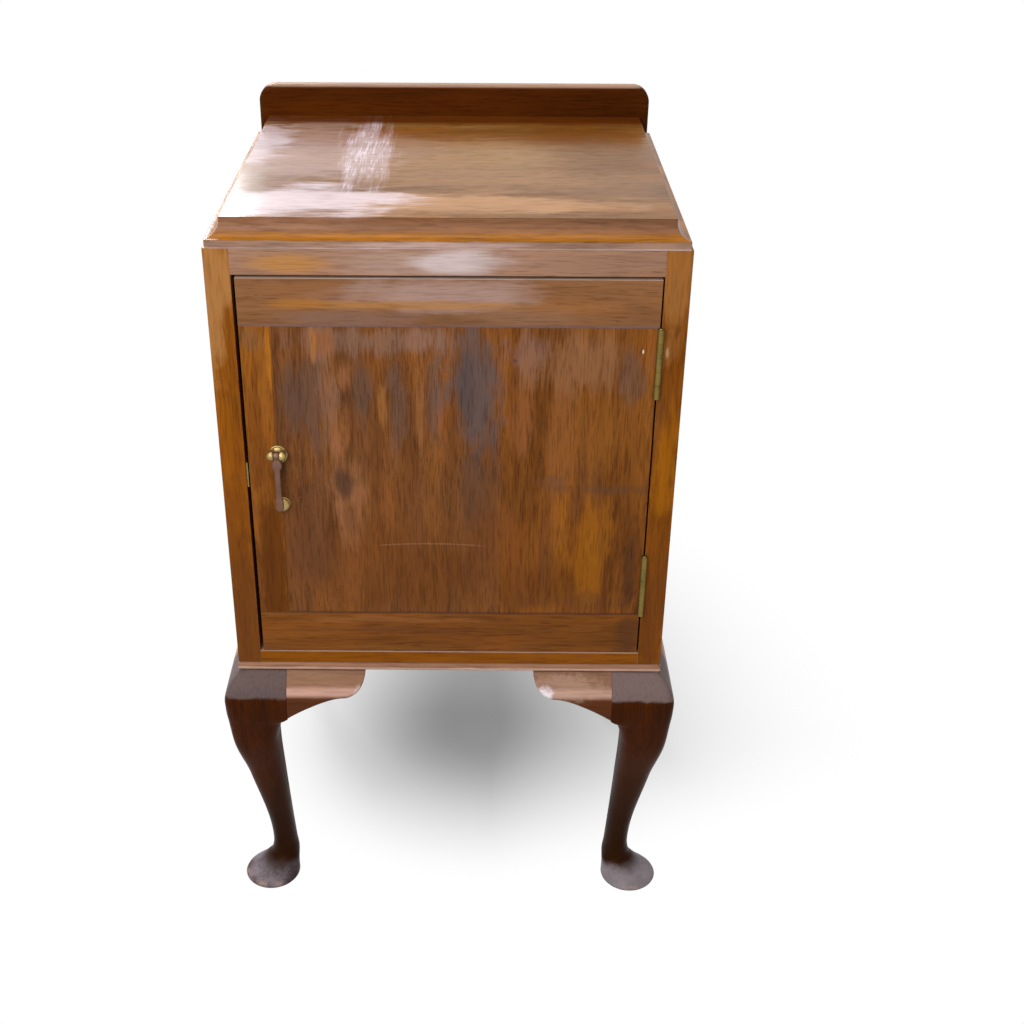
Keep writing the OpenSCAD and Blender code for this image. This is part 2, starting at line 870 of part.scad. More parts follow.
module hinge_upper_case_leaf() {
    color("#8f7a3e") placed() hinge_leaf(hinge_z[1], 1, 0);
}

module hinge_upper_door_leaf() {
    color("#a08a4a") placed() hinge_leaf(hinge_z[1], -1, 1);
}

module hinge_upper_pin() {
    color("#b39a55") placed() hinge_pin(hinge_z[1]);
}

module hinge_case_screws() {
    color("#a8935a") placed() hinge_screw_bars(1, false);
}

module hinge_door_screws() {
    color("#a8935a") placed() hinge_screw_bars(-1, false);
}

// ---------------------------------------------------------------- pull

plate_t = 3.2;
plate_edge = 1;
stud_spike = 11;
stud_spike_r = 1.3;

// A shallow dome of height h over an edge of height e, standing out along -Y
module dome_y(r, e, h) {
    bulge_r = (pow(r, 2) + pow(h - e, 2)) / (2 * (h - e));
    rotate([90, 0, 0]) rotate_extrude() intersection() {
        translate([0, h - bulge_r]) circle(r = bulge_r);
        square([r, h]);
    }
}

// One ball on its neck, turned in one piece, standing out along -Y
module ball_lug() {
    neck_r = ball_r * 0.62;
    rotate([90, 0, 0]) rotate_extrude() intersection() {
        union() {
            translate([0, pull_out]) circle(r = ball_r);
            square([neck_r, pull_out]);
        }
        square([ball_r + 1, pull_out + ball_r + 1]);
    }
}

// Round plate, threaded post and the two balls that hold the drop's pivot
module pull_mount() {
    color("#b59a58") placed() translate([pull_x, 0, pull_z]) difference() {
        union() {
            translate([0, 0, -plate_drop]) dome_y(plate_r, plate_edge, plate_t);
            for (s = [-1, 1]) translate([s * ball_x, 0, 0]) ball_lug();
            bar_y(0, -plate_edge, door_t + nut_t + 1, -plate_drop, post_r);
        }
        box(-slot_w / 2, slot_w / 2, -pull_out - ball_r - 1, eye_r + rest_gap - pull_out,
            -ball_r - 1, ball_r + 1);
        bar_x(-20, 20, -pull_out, 0, pivot_r + slip / 2);
    }
}

module pull_nut() {
    color("#a08a4a") placed() translate([pull_x, door_t, plate_z]) difference() {
        rotate([-90, 0, 0]) cylinder(r = nut_r, h = nut_t, $fn = 6);
        bar_y(0, -1, nut_t + 1, 0, post_r + slip / 2);
    }
}

module pull_pivot_pin() {
    reach = ball_x + ball_r * 0.8;
    color("#c4ab68") placed() translate([pull_x, 0, pull_z])
        bar_x(-reach, reach, -pull_out, 0, pivot_r);
}

// The drop's outline below its pivot: a rounded head, a straight bar and a wider rounded tip
module drop_outline() {
    head_y = ball_r + 0.6 + drop_head / 2;
    tip_y = drop_l - drop_tip / 2;
    flare_y = tip_y - drop_tip * 1.6;
    half = drop_w / 2;
    wide = drop_tip / 2;
    translate([0, -head_y]) circle(r = drop_head / 2);
    polygon([
        [-half, 0], [-half, -flare_y], [-wide, -flare_y - drop_tip * 0.7], [-wide, -tip_y],
        [wide, -tip_y], [wide, -flare_y - drop_tip * 0.7], [half, -flare_y], [half, 0]
    ]);
    translate([0, -tip_y]) circle(r = wide);
}

module drop_pull() {
    color("#8c7450") placed() translate([pull_x, -pull_out, pull_z]) difference() {
        union() {
            bar_x(-drop_w / 2, drop_w / 2, 0, 0, eye_r);
            translate([0, drop_t / 2, 0]) rotate([90, 0, 0])
                linear_extrude(height = drop_t) drop_outline();
        }
        bar_x(-20, 20, 0, 0, pivot_r + slip / 2);
    }
}

// Domed stud with a spike, which keeps the drop off the door
module rest_stud() {
    h = pull_out - drop_t / 2 - rest_gap;
    color("#b59a58") placed() translate([stud_x, 0, stud_z]) {
        dome_y(stud_r, h * 0.35, h);
        bar_y(0, -1, stud_spike, 0, stud_spike_r);
    }
}

// ---------------------------------------------------------------- ball catch

ball_cx = door_x0 + catch_r - catch_out;
catch_lip = 0.5;
spring_x0 = ball_cx + catch_r * 0.72;
spring_x1 = door_x0 + barrel_l - 1.2;
spring_turns = 6;
spring_wire = 0.3;
spring_r = catch_r - spring_wire - 0.35;
strike_pin_r = 1;
strike_pin_l = 9;

// Tube let into the door's free edge, with a thin lip that keeps the ball in
module catch_barrel() {
    color("#a08a4a") placed() difference() {
        bar_x(door_x0, door_x0 + barrel_l, catch_y, catch_z, barrel_r);
        bar_x(door_x0 + catch_lip, spring_x1, catch_y, catch_z, catch_r + slip / 2);
        bar_x(door_x0 - 1, door_x0 + catch_lip + eps, catch_y, catch_z, catch_r - slip / 2);
    }
}

module catch_ball() {
    color("#c9c6bd") placed() translate([ball_cx, catch_y, catch_z]) sphere(r = catch_r);
}

// A round wire wound along X; its rings are measured along the helix
module catch_spring() {
    steps = 10;
    sides = 6;
    run = spring_x1 - spring_x0 - 2 * spring_wire;
    count = spring_turns * steps;
    color("#8d8f90") placed() translate([spring_x0 + spring_wire, catch_y, catch_z])
        skin([for (i = [0 : count]) let (a = i * 360 / steps)
            [for (k = [0 : sides - 1]) let (b = -k * 360 / sides, r = spring_r + spring_wire * cos(b))
                [run * i / count + spring_wire * sin(b), r * cos(a), r * sin(a)]]]);
}

module strike_pins_shape(r) {
    for (s = [-1, 1])
        bar_x(-in_x - strike_pin_l, strike_t - in_x, catch_y, catch_z + s * strike_h * 0.36, r);
}

// Plate on the left side board, with a hollow opposite the ball
module strike_plate() {
    color("#a08a4a") placed() difference() {
        box(-in_x, strike_t - in_x, catch_y - strike_w / 2, catch_y + strike_w / 2,
            catch_z - strike_h / 2, catch_z + strike_h / 2);
        bar_x(-in_x - 1, strike_t - in_x + 1, catch_y, catch_z, catch_r * 0.8);
        strike_pins_shape(strike_pin_r + slip);
    }
}

module strike_pins() {
    color("#a8935a") placed() strike_pins_shape(strike_pin_r);
}

// ---------------------------------------------------------------- the parts

side_left();
side_right();
bottom_board();
top_rail();
back_rail();
back_panel();
back_panel_pins();
top_board();
top_screws();
gallery();
gallery_screws();
shelf();
shelf_bearer_left();
shelf_bearer_right();
shelf_bearer_screws();
door_stop();
base_moulding_front();
base_moulding_left();
base_moulding_right();
base_strip_back();
leg_front_left();
leg_front_right();
leg_rear_left();
leg_rear_right();
leg_dowels();
bracket_front_left();
bracket_front_right();
bracket_side_left_front();
bracket_side_left_rear();
bracket_side_right_front();
bracket_side_right_rear();
door_board_left();
door_board_middle();
door_board_right();
door_cleat_top();
door_cleat_bottom();
hinge_lower_case_leaf();
hinge_lower_door_leaf();
hinge_lower_pin();
hinge_upper_case_leaf();
hinge_upper_door_leaf();
hinge_upper_pin();
hinge_case_screws();
hinge_door_screws();
pull_mount();
pull_nut();
pull_pivot_pin();
drop_pull();
rest_stud();
catch_barrel();
catch_ball();
catch_spring();
strike_plate();
strike_pins();
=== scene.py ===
"""A bedside pot cupboard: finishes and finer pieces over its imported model, with a floor, lamps and camera.

Metres, with sizes of the object written in millimetres. X is to the right, Y to the back and Z up, with the
origin on the floor under the case.
"""

import json
import math

import bmesh
import bpy
from mathutils import Matrix, Vector


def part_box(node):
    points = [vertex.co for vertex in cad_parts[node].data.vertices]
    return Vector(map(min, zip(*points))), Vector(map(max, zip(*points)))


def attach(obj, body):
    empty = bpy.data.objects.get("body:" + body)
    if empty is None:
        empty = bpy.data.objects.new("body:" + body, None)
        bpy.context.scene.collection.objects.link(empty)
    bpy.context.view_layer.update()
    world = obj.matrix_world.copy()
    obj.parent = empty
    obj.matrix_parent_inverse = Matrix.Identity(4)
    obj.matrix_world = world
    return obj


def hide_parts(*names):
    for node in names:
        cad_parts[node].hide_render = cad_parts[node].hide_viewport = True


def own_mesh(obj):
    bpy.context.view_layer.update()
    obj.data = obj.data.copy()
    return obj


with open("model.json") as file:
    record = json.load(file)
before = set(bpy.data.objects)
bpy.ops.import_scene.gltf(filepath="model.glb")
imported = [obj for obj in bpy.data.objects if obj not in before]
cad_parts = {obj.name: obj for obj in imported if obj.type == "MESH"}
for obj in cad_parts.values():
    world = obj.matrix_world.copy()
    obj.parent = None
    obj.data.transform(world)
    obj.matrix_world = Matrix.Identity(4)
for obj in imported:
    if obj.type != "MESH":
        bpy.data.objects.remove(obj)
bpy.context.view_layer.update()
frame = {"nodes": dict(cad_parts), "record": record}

MM = 0.001


def placed(name, data):
    """A new object in the scene."""
    thing = bpy.data.objects.new(name, data)
    bpy.context.scene.collection.objects.link(thing)
    return thing


# ------------------------ camera


def set_camera():
    """The view of the photograph: a little right of the middle, looking down at the top and the door."""
    turn, down, lean = 0.0048, 0.5119, 0.004  # radians
    camera = bpy.data.cameras.new("camera")
    camera.sensor_width = 36
    camera.lens = 50.6
    camera.shift_x = 0.042
    stand = placed("camera", camera)
    stand.location = (23.6 * MM, -1298.6 * MM, 1073.9 * MM)
    aim = Matrix.Rotation(turn, 3, "Z") @ Matrix.Rotation(math.pi / 2 - down, 3, "X")
    stand.rotation_euler = (aim @ Matrix.Rotation(lean, 3, "Z")).to_euler()
    bpy.context.scene.camera = stand


set_camera()


# ------------------------ joining nodes


def put(tree, socket, value):
    """Joins a socket to another one, or sets it to a plain value."""
    if isinstance(value, bpy.types.NodeSocket):
        tree.links.new(value, socket)
    else:
        socket.default_value = value


def math_of(tree, operation, a, b=0.0, c=0.0, clamp=False):
    node = tree.nodes.new("ShaderNodeMath")
    node.operation = operation
    node.use_clamp = clamp
    for socket, value in zip(node.inputs, (a, b, c)):
        put(tree, socket, value)
    return node.outputs[0]


def times(tree, a, b, clamp=False):
    return math_of(tree, "MULTIPLY", a, b, clamp=clamp)


def minus(tree, a, b):
    return math_of(tree, "SUBTRACT", a, b)


def over(tree, a, b):
    return math_of(tree, "DIVIDE", a, b)


def vector_of(tree, operation, a, b=(0, 0, 0)):
    node = tree.nodes.new("ShaderNodeVectorMath")
    node.operation = operation
    put(tree, node.inputs[0], a)
    put(tree, node.inputs[1], b)
    return node.outputs[0]


def noise(tree, vector, scale, detail=2.0, rough=0.5, warp=0.0):
    node = tree.nodes.new("ShaderNodeTexNoise")
    put(tree, node.inputs["Vector"], vector)
    put(tree, node.inputs["Scale"], scale)
    put(tree, node.inputs["Detail"], detail)
    put(tree, node.inputs["Roughness"], rough)
    put(tree, node.inputs["Distortion"], warp)
    return node.outputs["Fac"]


def spread(tree, value, low, high, to_low=0.0, to_high=1.0):
    """Smoothly maps low..high onto to_low..to_high."""
    node = tree.nodes.new("ShaderNodeMapRange")
    node.interpolation_type = "SMOOTHSTEP"
    for socket, v in zip(node.inputs, (value, low, high, to_low, to_high)):
        put(tree, socket, v)
    return node.outputs[0]


def blended(tree, factor, a, b, how="MIX"):
    node = tree.nodes.new("ShaderNodeMix")
    node.data_type = "RGBA"
    node.blend_type = how
    put(tree, node.inputs[0], factor)
    put(tree, node.inputs[6], a)
    put(tree, node.inputs[7], b)
    return node.outputs[2]


def parts_of(tree, vector):
    node = tree.nodes.new("ShaderNodeSeparateXYZ")
    put(tree, node.inputs[0], vector)
    return node.outputs


def joined(tree, x, y, z):
    node = tree.nodes.new("ShaderNodeCombineXYZ")
    for socket, value in zip(node.inputs, (x, y, z)):
        put(tree, socket, value)
    return node.outputs[0]


def piece_place(tree):
    """A point's place on the piece at rest, in metres."""
    return tree.nodes.new("ShaderNodeTexCoord").outputs["Object"]


SOCKETS = {"number": "NodeSocketFloat", "colour": "NodeSocketColor", "vector": "NodeSocketVector"}


def new_group(name, inputs, outputs):
    """An empty node group with named sockets. Returns its tree, its inputs by name and its output node."""
    tree = bpy.data.node_groups.new(name, "ShaderNodeTree")
    for label, kind, value in inputs:
        socket = tree.interface.new_socket(name=label, in_out="INPUT", socket_type=SOCKETS[kind])
        if value is not None:
            socket.default_value = value
    for label, kind in outputs:
        tree.interface.new_socket(name=label, in_out="OUTPUT", socket_type=SOCKETS[kind])
    given = tree.nodes.new("NodeGroupInput").outputs
    return tree, given, tree.nodes.new("NodeGroupOutput").inputs


def use_group(tree, group, **values):
    node = tree.nodes.new("ShaderNodeGroup")
    node.node_tree = group
    for label, value in values.items():
        put(tree, node.inputs[label.replace("_", " ")], value)
    return node.outputs


def rgb(r, g, b):
    """A screen colour, 0 to 255, as the light it stands for."""
    def light(c):
        c = c / 255
        return c / 12.92 if c <= 0.04045 else ((c + 0.055) / 1.055) ** 2.4
    return (light(r), light(g), light(b), 1.0)


# ------------------------ shared effects


def straight_grain_group():
    """Soft stripes, fine streaks and open pores that run along the vector's third axis.

    Shade is where the finest dark lines lie.
    """
    bend_scale, fine_to_stripe, pore_length, pore_scale = 5.0, 13.0, 22.0, 1000.0
    tree, given, out = new_group(
        "straight grain",
        [
            ("Vector", "vector", None),
            ("Pale", "colour", rgb(150, 90, 50)),
            ("Deep", "colour", rgb(90, 45, 22)),
            ("Stripes", "number", 30.0),
            ("Length", "number", 14.0),
            ("Waver", "number", 0.01),
            ("Contrast", "number", 0.8),
            ("Pores", "number", 0.3),
        ],
        [("Colour", "colour"), ("Height", "number"), ("Streaks", "number"), ("Shade", "number")],
    )
    bend = tree.nodes.new("ShaderNodeTexNoise")
    put(tree, bend.inputs["Vector"], given["Vector"])
    put(tree, bend.inputs["Scale"], bend_scale)
    swing = vector_of(tree, "SUBTRACT", bend.outputs["Color"], (0.5, 0.5, 0.5))
    scale = tree.nodes.new("ShaderNodeVectorMath")
    scale.operation = "SCALE"
    put(tree, scale.inputs[0], swing)
    put(tree, scale.inputs["Scale"], given["Waver"])
    bent = vector_of(tree, "ADD", given["Vector"], scale.outputs[0])
    x, y, z = parts_of(tree, bent)
    drawn = joined(tree, x, y, over(tree, z, given["Length"]))
    bands = noise(tree, drawn, given["Stripes"], 4.0, 0.6, 0.2)
    fine = noise(tree, drawn, times(tree, given["Stripes"], fine_to_stripe), 3.0, 0.55)
    pores = noise(tree, joined(tree, x, y, over(tree, z, pore_length)), pore_scale, 1.0, 0.5)
    pore = spread(tree, pores, 0.56, 0.74)
    soft = spread(tree, bands, 0.30, 0.70)
    streaks = math_of(tree, "MULTIPLY_ADD", minus(tree, fine, 0.5), 0.8, soft, clamp=True)
    depth = times(tree, streaks, given["Contrast"], clamp=True)
    colour = blended(tree, depth, given["Pale"], given["Deep"])
    filled = blended(tree, 1.0, colour, rgb(120, 96, 84), "MULTIPLY")
    dark_line = spread(tree, fine, 0.5, 0.66, 0.0, 0.75)
    put(tree, out["Colour"], blended(tree, times(tree, pore, given["Pores"]), colour, filled))
    put(tree, out["Height"], math_of(tree, "MULTIPLY_ADD", pore, -0.5, times(tree, fine, 0.4)))
    put(tree, out["Streaks"], streaks)
    put(tree, out["Shade"], math_of(tree, "MAXIMUM", dark_line, times(tree, pore, 0.8)))
    return tree


def soft_mark_group():
    """How far a point lies inside an oval whose soft edge follows the grain."""
    tree, given, out = new_group(
        "soft mark",
        [
            ("Place", "vector", None),
            ("Streaks", "number", 0.5),
            ("Across", "number", 0.0),
            ("Up", "number", 0.0),
            ("Half across", "number", 0.01),
            ("Half up", "number", 0.01),
            ("Amount", "number", 0.5),
            ("Ragged", "number", 0.6),
        ],
        [("Mask", "number")],
    )
    x, y, _ = parts_of(tree, given["Place"])
    across = over(tree, minus(tree, x, given["Across"]), given["Half across"])
    up = over(tree, minus(tree, y, given["Up"]), given["Half up"])
    reach = math_of(tree, "SQRT", math_of(tree, "MULTIPLY_ADD", across, across, times(tree, up, up)))
    swing = times(tree, minus(tree, given["Streaks"], 0.5), given["Ragged"])
    inside = spread(tree, math_of(tree, "ADD", reach, swing), 1.25, 0.45)
    put(tree, out["Mask"], times(tree, inside, given["Amount"]))
    return tree


def rubbed_edges_group():
    """Where handling has worn a piece's edges, broken up by noise, and the normal of the softened edges."""
    tree, given, out = new_group(
        "rubbed edges",
        [("Vector", "vector", None), ("Radius", "number", 0.001), ("Amount", "number", 0.5)],
        [("Mask", "number"), ("Normal", "vector")],
    )
    bevel = tree.nodes.new("ShaderNodeBevel")
    bevel.samples = 4
    put(tree, bevel.inputs["Radius"], given["Radius"])
    flat = tree.nodes.new("ShaderNodeNewGeometry").outputs["Normal"]
    turn = tree.nodes.new("ShaderNodeVectorMath")
    turn.operation = "DOT_PRODUCT"
    put(tree, turn.inputs[0], bevel.outputs[0])
    put(tree, turn.inputs[1], flat)
    edge = spread(tree, turn.outputs["Value"], 0.99, 0.85)
    broken = spread(tree, noise(tree, given["Vector"], 60.0, 4.0, 0.65), 0.40, 0.62)
    mask = times(tree, times(tree, edge, broken), given["Amount"], clamp=True)
    put(tree, out["Mask"], mask)
    put(tree, out["Normal"], bevel.outputs[0])
    return tree


def patches_group():
    """Slow changes of tone over a piece, and a few small dark spots."""
    tree, given, out = new_group(
        "patches",
        [
            ("Vector", "vector", None),
            ("Colour", "colour", rgb(120, 70, 40)),
            ("Warm", "colour", rgb(190, 110, 40)),
            ("Dull", "colour", rgb(60, 40, 34)),
            ("Size", "number", 7.0),
            ("Warmth", "number", 0.3),
            ("Dullness", "number", 0.3),
            ("Spots", "number", 0.5),
        ],
        [("Colour", "colour")],
    )
    glow = spread(tree, noise(tree, given["Vector"], given["Size"], 3.0, 0.55, 0.4), 0.46, 0.72)
    shifted = vector_of(tree, "ADD", given["Vector"], (3.1, 1.7, 5.3))
    gloom = spread(tree, noise(tree, shifted, given["Size"], 3.0, 0.6, 0.5), 0.46, 0.75)
    warmed = blended(tree, times(tree, glow, given["Warmth"]), given["Colour"], given["Warm"])
    dulled = blended(tree, times(tree, gloom, given["Dullness"]), warmed, given["Dull"])
    spots = spread(tree, noise(tree, given["Vector"], 190.0, 2.0, 0.4), 0.745, 0.78)
    spotted = blended(tree, times(tree, spots, given["Spots"]), dulled, rgb(44, 24, 16))
    put(tree, out["Colour"], spotted)
    return tree


def scratches_group():
    """Fine crossing scratches in small clusters, as a mask."""
    tree, given, out = new_group(
        "fine scratches",
        [("Vector", "vector", None), ("Density", "number", 0.5)],
        [("Mask", "number")],
    )
    masks = []
    for turn, stretch, scale in ((0.25, 30.0, 420.0), (-0.6, 26.0, 360.0), (1.25, 34.0, 400.0)):
        rotate = tree.nodes.new("ShaderNodeMapping")
        put(tree, rotate.inputs["Vector"], given["Vector"])
        rotate.inputs["Rotation"].default_value = (turn, turn, turn)
        rotate.inputs["Scale"].default_value = (1, 1 / stretch, 1)
        lines = noise(tree, rotate.outputs[0], scale, 0.0, 0.5, 0.05)
        masks.append(spread(tree, lines, 0.72, 0.80))
    crossing = math_of(tree, "MAXIMUM", masks[0], math_of(tree, "MAXIMUM", masks[1], masks[2]))
    where = spread(tree, noise(tree, given["Vector"], 12.0, 2.0), 0.48, 0.66)
    put(tree, out["Mask"], times(tree, times(tree, crossing, where), given["Density"]))
    return tree


STRAIGHT_GRAIN = straight_grain_group()
SOFT_MARK = soft_mark_group()
RUBBED_EDGES = rubbed_edges_group()
PATCHES = patches_group()
SCRATCHES = scratches_group()


# ------------------------ wood finishes

# Each finish by the name of its slot
FINISH = {}


def along(tree, grain, seed):
    """The piece's place with its grain turned to the third axis, and shifted so that pieces differ."""
    x, y, z = parts_of(tree, piece_place(tree))
    order = (y, z, x) if grain == "x" else (x, y, z)
    return vector_of(tree, "ADD", joined(tree, *order), (seed * 1.31, seed * 0.77, seed * 2.13))


def stretched(tree, place, stretch):
    """The same place, drawn out along the grain."""
    x, y, z = parts_of(tree, place)
    return joined(tree, x, y, over(tree, z, stretch))


def facing(tree, plane):
    """The piece's place as seen square on: plane is xz from the front and xy from above."""
    x, y, z = parts_of(tree, piece_place(tree))
    return joined(tree, x, z if plane == "xz" else y, 0.0)


def new_material(name):
    material = bpy.data.materials.new(name)
    material.use_nodes = True
    return material, material.node_tree


def shader_of(tree, **values):
    """The material's Principled shader, with its plain values set on its own sockets."""
    shader = tree.nodes["Principled BSDF"]
    for label, value in values.items():
        shader.inputs[label].default_value = value
    return shader


def bump_into(tree, shader, height, strength, distance, normal=None):
    bump = tree.nodes.new("ShaderNodeBump")
    bump.inputs["Strength"].default_value = strength
    bump.inputs["Distance"].default_value = distance
    put(tree, bump.inputs["Height"], height)
    if normal is not None:
        put(tree, bump.inputs["Normal"], normal)
    put(tree, shader.inputs["Normal"], bump.outputs[0])


def with_marks(tree, under, seen, streaks, marks, ragged=0.6):
    """Lays soft ovals over a colour: middle across and up and half sizes (mm), colour, amount."""
    for across, up, half_across, half_up, colour, amount in marks:
        mask = use_group(
            tree, SOFT_MARK, Place=seen, Streaks=streaks, Across=across * MM, Up=up * MM,
            Half_across=half_across * MM, Half_up=half_up * MM, Amount=amount, Ragged=ragged,
        )["Mask"]
        under = blended(tree, mask, under, rgb(*colour))
    return under


# Marks on upright faces belong to the front: they end and are at their full strength at these depths
MARKS_END, MARKS_FULL = -0.158, -0.172


def wood(
    name, pale, deep, grain="z", seed=0.0, stripes=30.0, length=14.0, waver=0.01, contrast=0.8, pores=0.35,
    warm=(176, 100, 34), dull=(82, 58, 48), patch=26.0, warmth=0.22, dullness=0.3, spots=0.3,
    rub=(196, 150, 110), rub_radius=0.001, rub_amount=0.4, gloss=0.3, shine=0.12,
    tint=(1.0, 0.72, 0.52), scratches=0.0, plane="xz", marks=(), extra=None, lining=0.25, vary=0.14,
    ragged=1.0,
):
    """Makes a finish of stained and varnished wood.

    marks are soft ovals of other tones, and ragged is how far their outline wanders. extra(tree, colour,
    streaks) may paint further marks over them. lining is how dark the fine lines are that run through all
    of it, and vary is how much the gloss changes from place to place.
    """
    material, tree = new_material(name)
    shader = shader_of(tree, **{"Specular IOR Level": shine, "Specular Tint": (*tint, 1.0)})
    place = along(tree, grain, seed)
    lines = use_group(
        tree, STRAIGHT_GRAIN, Vector=place, Pale=rgb(*pale), Deep=rgb(*deep), Stripes=stripes, Length=length,
        Waver=waver, Contrast=contrast, Pores=pores,
    )
    toned = use_group(
        tree, PATCHES, Vector=stretched(tree, place, 4.0), Colour=lines["Colour"], Warm=rgb(*warm),
        Dull=rgb(*dull), Size=patch, Warmth=warmth, Dullness=dullness, Spots=spots,
    )["Colour"]
    if marks:
        seen = facing(tree, plane)
        cloud = noise(tree, stretched(tree, place, 2.5), 42.0, 4.0, 0.6, 0.4)
        streaky = math_of(tree, "MULTIPLY_ADD", lines["Streaks"], 1.1, -2.65)
        uneven = math_of(tree, "MULTIPLY_ADD", cloud, 4.2, streaky)
        marked = with_marks(tree, toned, seen, math_of(tree, "MULTIPLY_ADD", uneven, ragged, 0.5), marks)
        depth = parts_of(tree, piece_place(tree))[1]
        shown = 1.0 if plane == "xy" else spread(tree, depth, MARKS_END, MARKS_FULL)
        toned = blended(tree, shown, toned, marked)
    if extra:
        toned = extra(tree, toned, lines["Streaks"])
    shade = times(tree, lines["Shade"], lining)
    toned = blended(tree, shade, toned, rgb(136, 104, 84), "MULTIPLY")
    edges = use_group(tree, RUBBED_EDGES, Vector=place, Radius=rub_radius, Amount=rub_amount)
    toned = blended(tree, edges["Mask"], toned, rgb(*rub))
    rough = spread(tree, noise(tree, place, 16.0, 3.0, 0.6), 0.3, 0.75, gloss, gloss + vary)
    if scratches:
        fine = use_group(tree, SCRATCHES, Vector=place, Density=scratches)["Mask"]
        toned = blended(tree, times(tree, fine, 0.5), toned, rgb(215, 196, 186))
        rough = math_of(tree, "MULTIPLY_ADD", fine, 0.2, rough, clamp=True)
    put(tree, shader.inputs["Base Color"], toned)
    put(tree, shader.inputs["Roughness"], rough)
    bump_into(tree, shader, lines["Height"], 0.25, 0.0004, edges["Normal"])
    FINISH[name] = material


# What the front's boards show, as soft marks: x and z of the middle and half sizes (mm), colour, amount

# Where the middle board meets the right one: the first two, greyish-lilac ovals are a painted reflection,
# the others are the wood's tones
SEAM_TONES_AND_REFLECTION = (
    (21, 558, 24, 66, (94, 81, 80), 0.8),
    (14, 560, 9, 40, (78, 66, 66), 0.4),
    (22, 470, 22, 46, (92, 64, 50), 0.6),
    (28, 400, 18, 56, (102, 60, 34), 0.5),
    (50, 430, 12, 20, (122, 70, 36), 0.35),
)

LEFT_BOARD_MARKS = (
    (-165, 607, 9, 10, (130, 92, 62), 0.5),
    (-151.5, 592, 2.4, 24, (190, 120, 36), 0.6),
    (-158, 560, 5, 50, (160, 98, 36), 0.5),
    (-148.6, 530, 1.6, 70, (82, 48, 30), 0.6),
    (-165, 500, 8, 60, (128, 70, 20), 0.5),
    (-163, 395, 14, 95, (92, 46, 8), 0.85),
)

# On the middle board the greyish-lilac ovals are a painted reflection and the pale pinkish ones along its
# top a painted sheen; the rest are the wood's tones
MIDDLE_BOARD_TONES_AND_REFLECTION = (
    (-43, 382, 92, 50, (104, 56, 18), 0.5),
    (-126, 547, 20, 42, (96, 72, 62), 0.7),
    (-123, 412, 22, 66, (104, 64, 40), 0.6),
    (-59, 607, 84, 14, (142, 110, 94), 0.5),
    (-103, 604, 9, 10, (160, 90, 40), 0.45),
    (-114, 604, 2.2, 13, (184, 118, 46), 0.4),
    (-101, 548, 8.5, 42, (138, 100, 78), 0.6),
    (-90, 577, 6, 17, (164, 108, 70), 0.6),
    (-71, 555, 8.5, 42, (96, 74, 64), 0.6),
    (-57, 543, 5, 22, (150, 98, 50), 0.8),
    (-41, 552, 10, 48, (104, 80, 68), 0.65),
    (-24, 540, 3.6, 55, (152, 98, 56), 0.7),
    (-12, 560, 7, 40, (98, 78, 70), 0.5),
    (-7, 544, 2, 20, (160, 92, 52), 0.6),
    (-92, 520, 10, 24, (152, 94, 52), 0.7),
    (-90, 455, 15, 50, (158, 104, 68), 0.7),
    (-92, 474, 8.5, 17, (88, 58, 42), 0.9),
    (-88, 435, 6.5, 18, (118, 74, 44), 0.7),
    (-83, 385, 14, 36, (136, 80, 40), 0.5),
    (-56, 470, 7, 50, (138, 82, 44), 0.5),
    (-30, 440, 9, 60, (124, 74, 42), 0.5),
    (-21, 608, 19, 9, (150, 110, 92), 0.4),
    *SEAM_TONES_AND_REFLECTION,
)

# The right board shares the seam's ovals, with the painted reflection among them
RIGHT_BOARD_MARKS = (
    (100, 366, 80, 28, (98, 52, 16), 0.5),
    (71, 598, 26, 18, (138, 100, 88), 0.6),
    (110, 588, 50, 30, (152, 106, 74), 0.6),
    (64, 520, 14, 40, (150, 90, 50), 0.65),
    (95, 520, 16, 50, (144, 88, 48), 0.5),
    (154, 580, 15, 26, (106, 76, 60), 0.65),
    (132, 518, 24, 38, (144, 88, 34), 0.6),
    (139, 467, 35, 6, (98, 66, 42), 0.6),
    (86, 474, 14, 8, (106, 72, 54), 0.5),
    (128, 404, 24, 58, (158, 94, 16), 0.65),
    (86, 413, 7, 60, (106, 62, 34), 0.5),
    (62, 400, 12, 50, (128, 72, 30), 0.5),
    (164, 391, 9, 48, (78, 46, 26), 0.75),
    (120, 348, 52, 10, (106, 62, 34), 0.5),
    (56.3, 590, 2.6, 2.6, (92, 66, 66), 0.8),
    *SEAM_TONES_AND_REFLECTION,
)

# The pale mauve oval across the middle of the top cleat is a painted sheen
TOP_CLEAT_TONES_AND_SHEEN = (
    (-9, 650, 90, 16, (182, 152, 142), 0.72),
    (-120, 652, 40, 9, (152, 100, 64), 0.6),
    (-29, 639.5, 95, 4, (178, 122, 62), 0.7),
    (-128, 640, 30, 4.5, (172, 112, 52), 0.7),
    (100, 636, 60, 5, (160, 106, 62), 0.5),
    (-83, 627.5, 66, 7, (134, 100, 86), 0.7),
    (70, 629, 60, 8, (150, 112, 86), 0.5),
)

FOOT_CLEAT_MARKS = (
    (-44, 327, 110, 3.6, (148, 92, 48), 0.6),
    (-60, 316, 80, 4, (94, 56, 36), 0.5),
    (60, 306, 90, 6, (128, 72, 26), 0.5),
    (165, 315, 14, 30, (84, 50, 30), 0.6),
)

# The two pale greyish-pink ovals in the middle of the rail are a painted sheen
RAIL_TONES_AND_SHEEN = (
    (-25, 676, 90, 16, (188, 160, 150), 0.5),
    (8, 677, 44, 11, (220, 202, 202), 0.75),
    (-129, 675, 44, 9, (192, 134, 70), 0.75),
    (-60, 680, 30, 6, (176, 140, 120), 0.5),
    (110, 674, 60, 8, (160, 122, 100), 0.5),
)


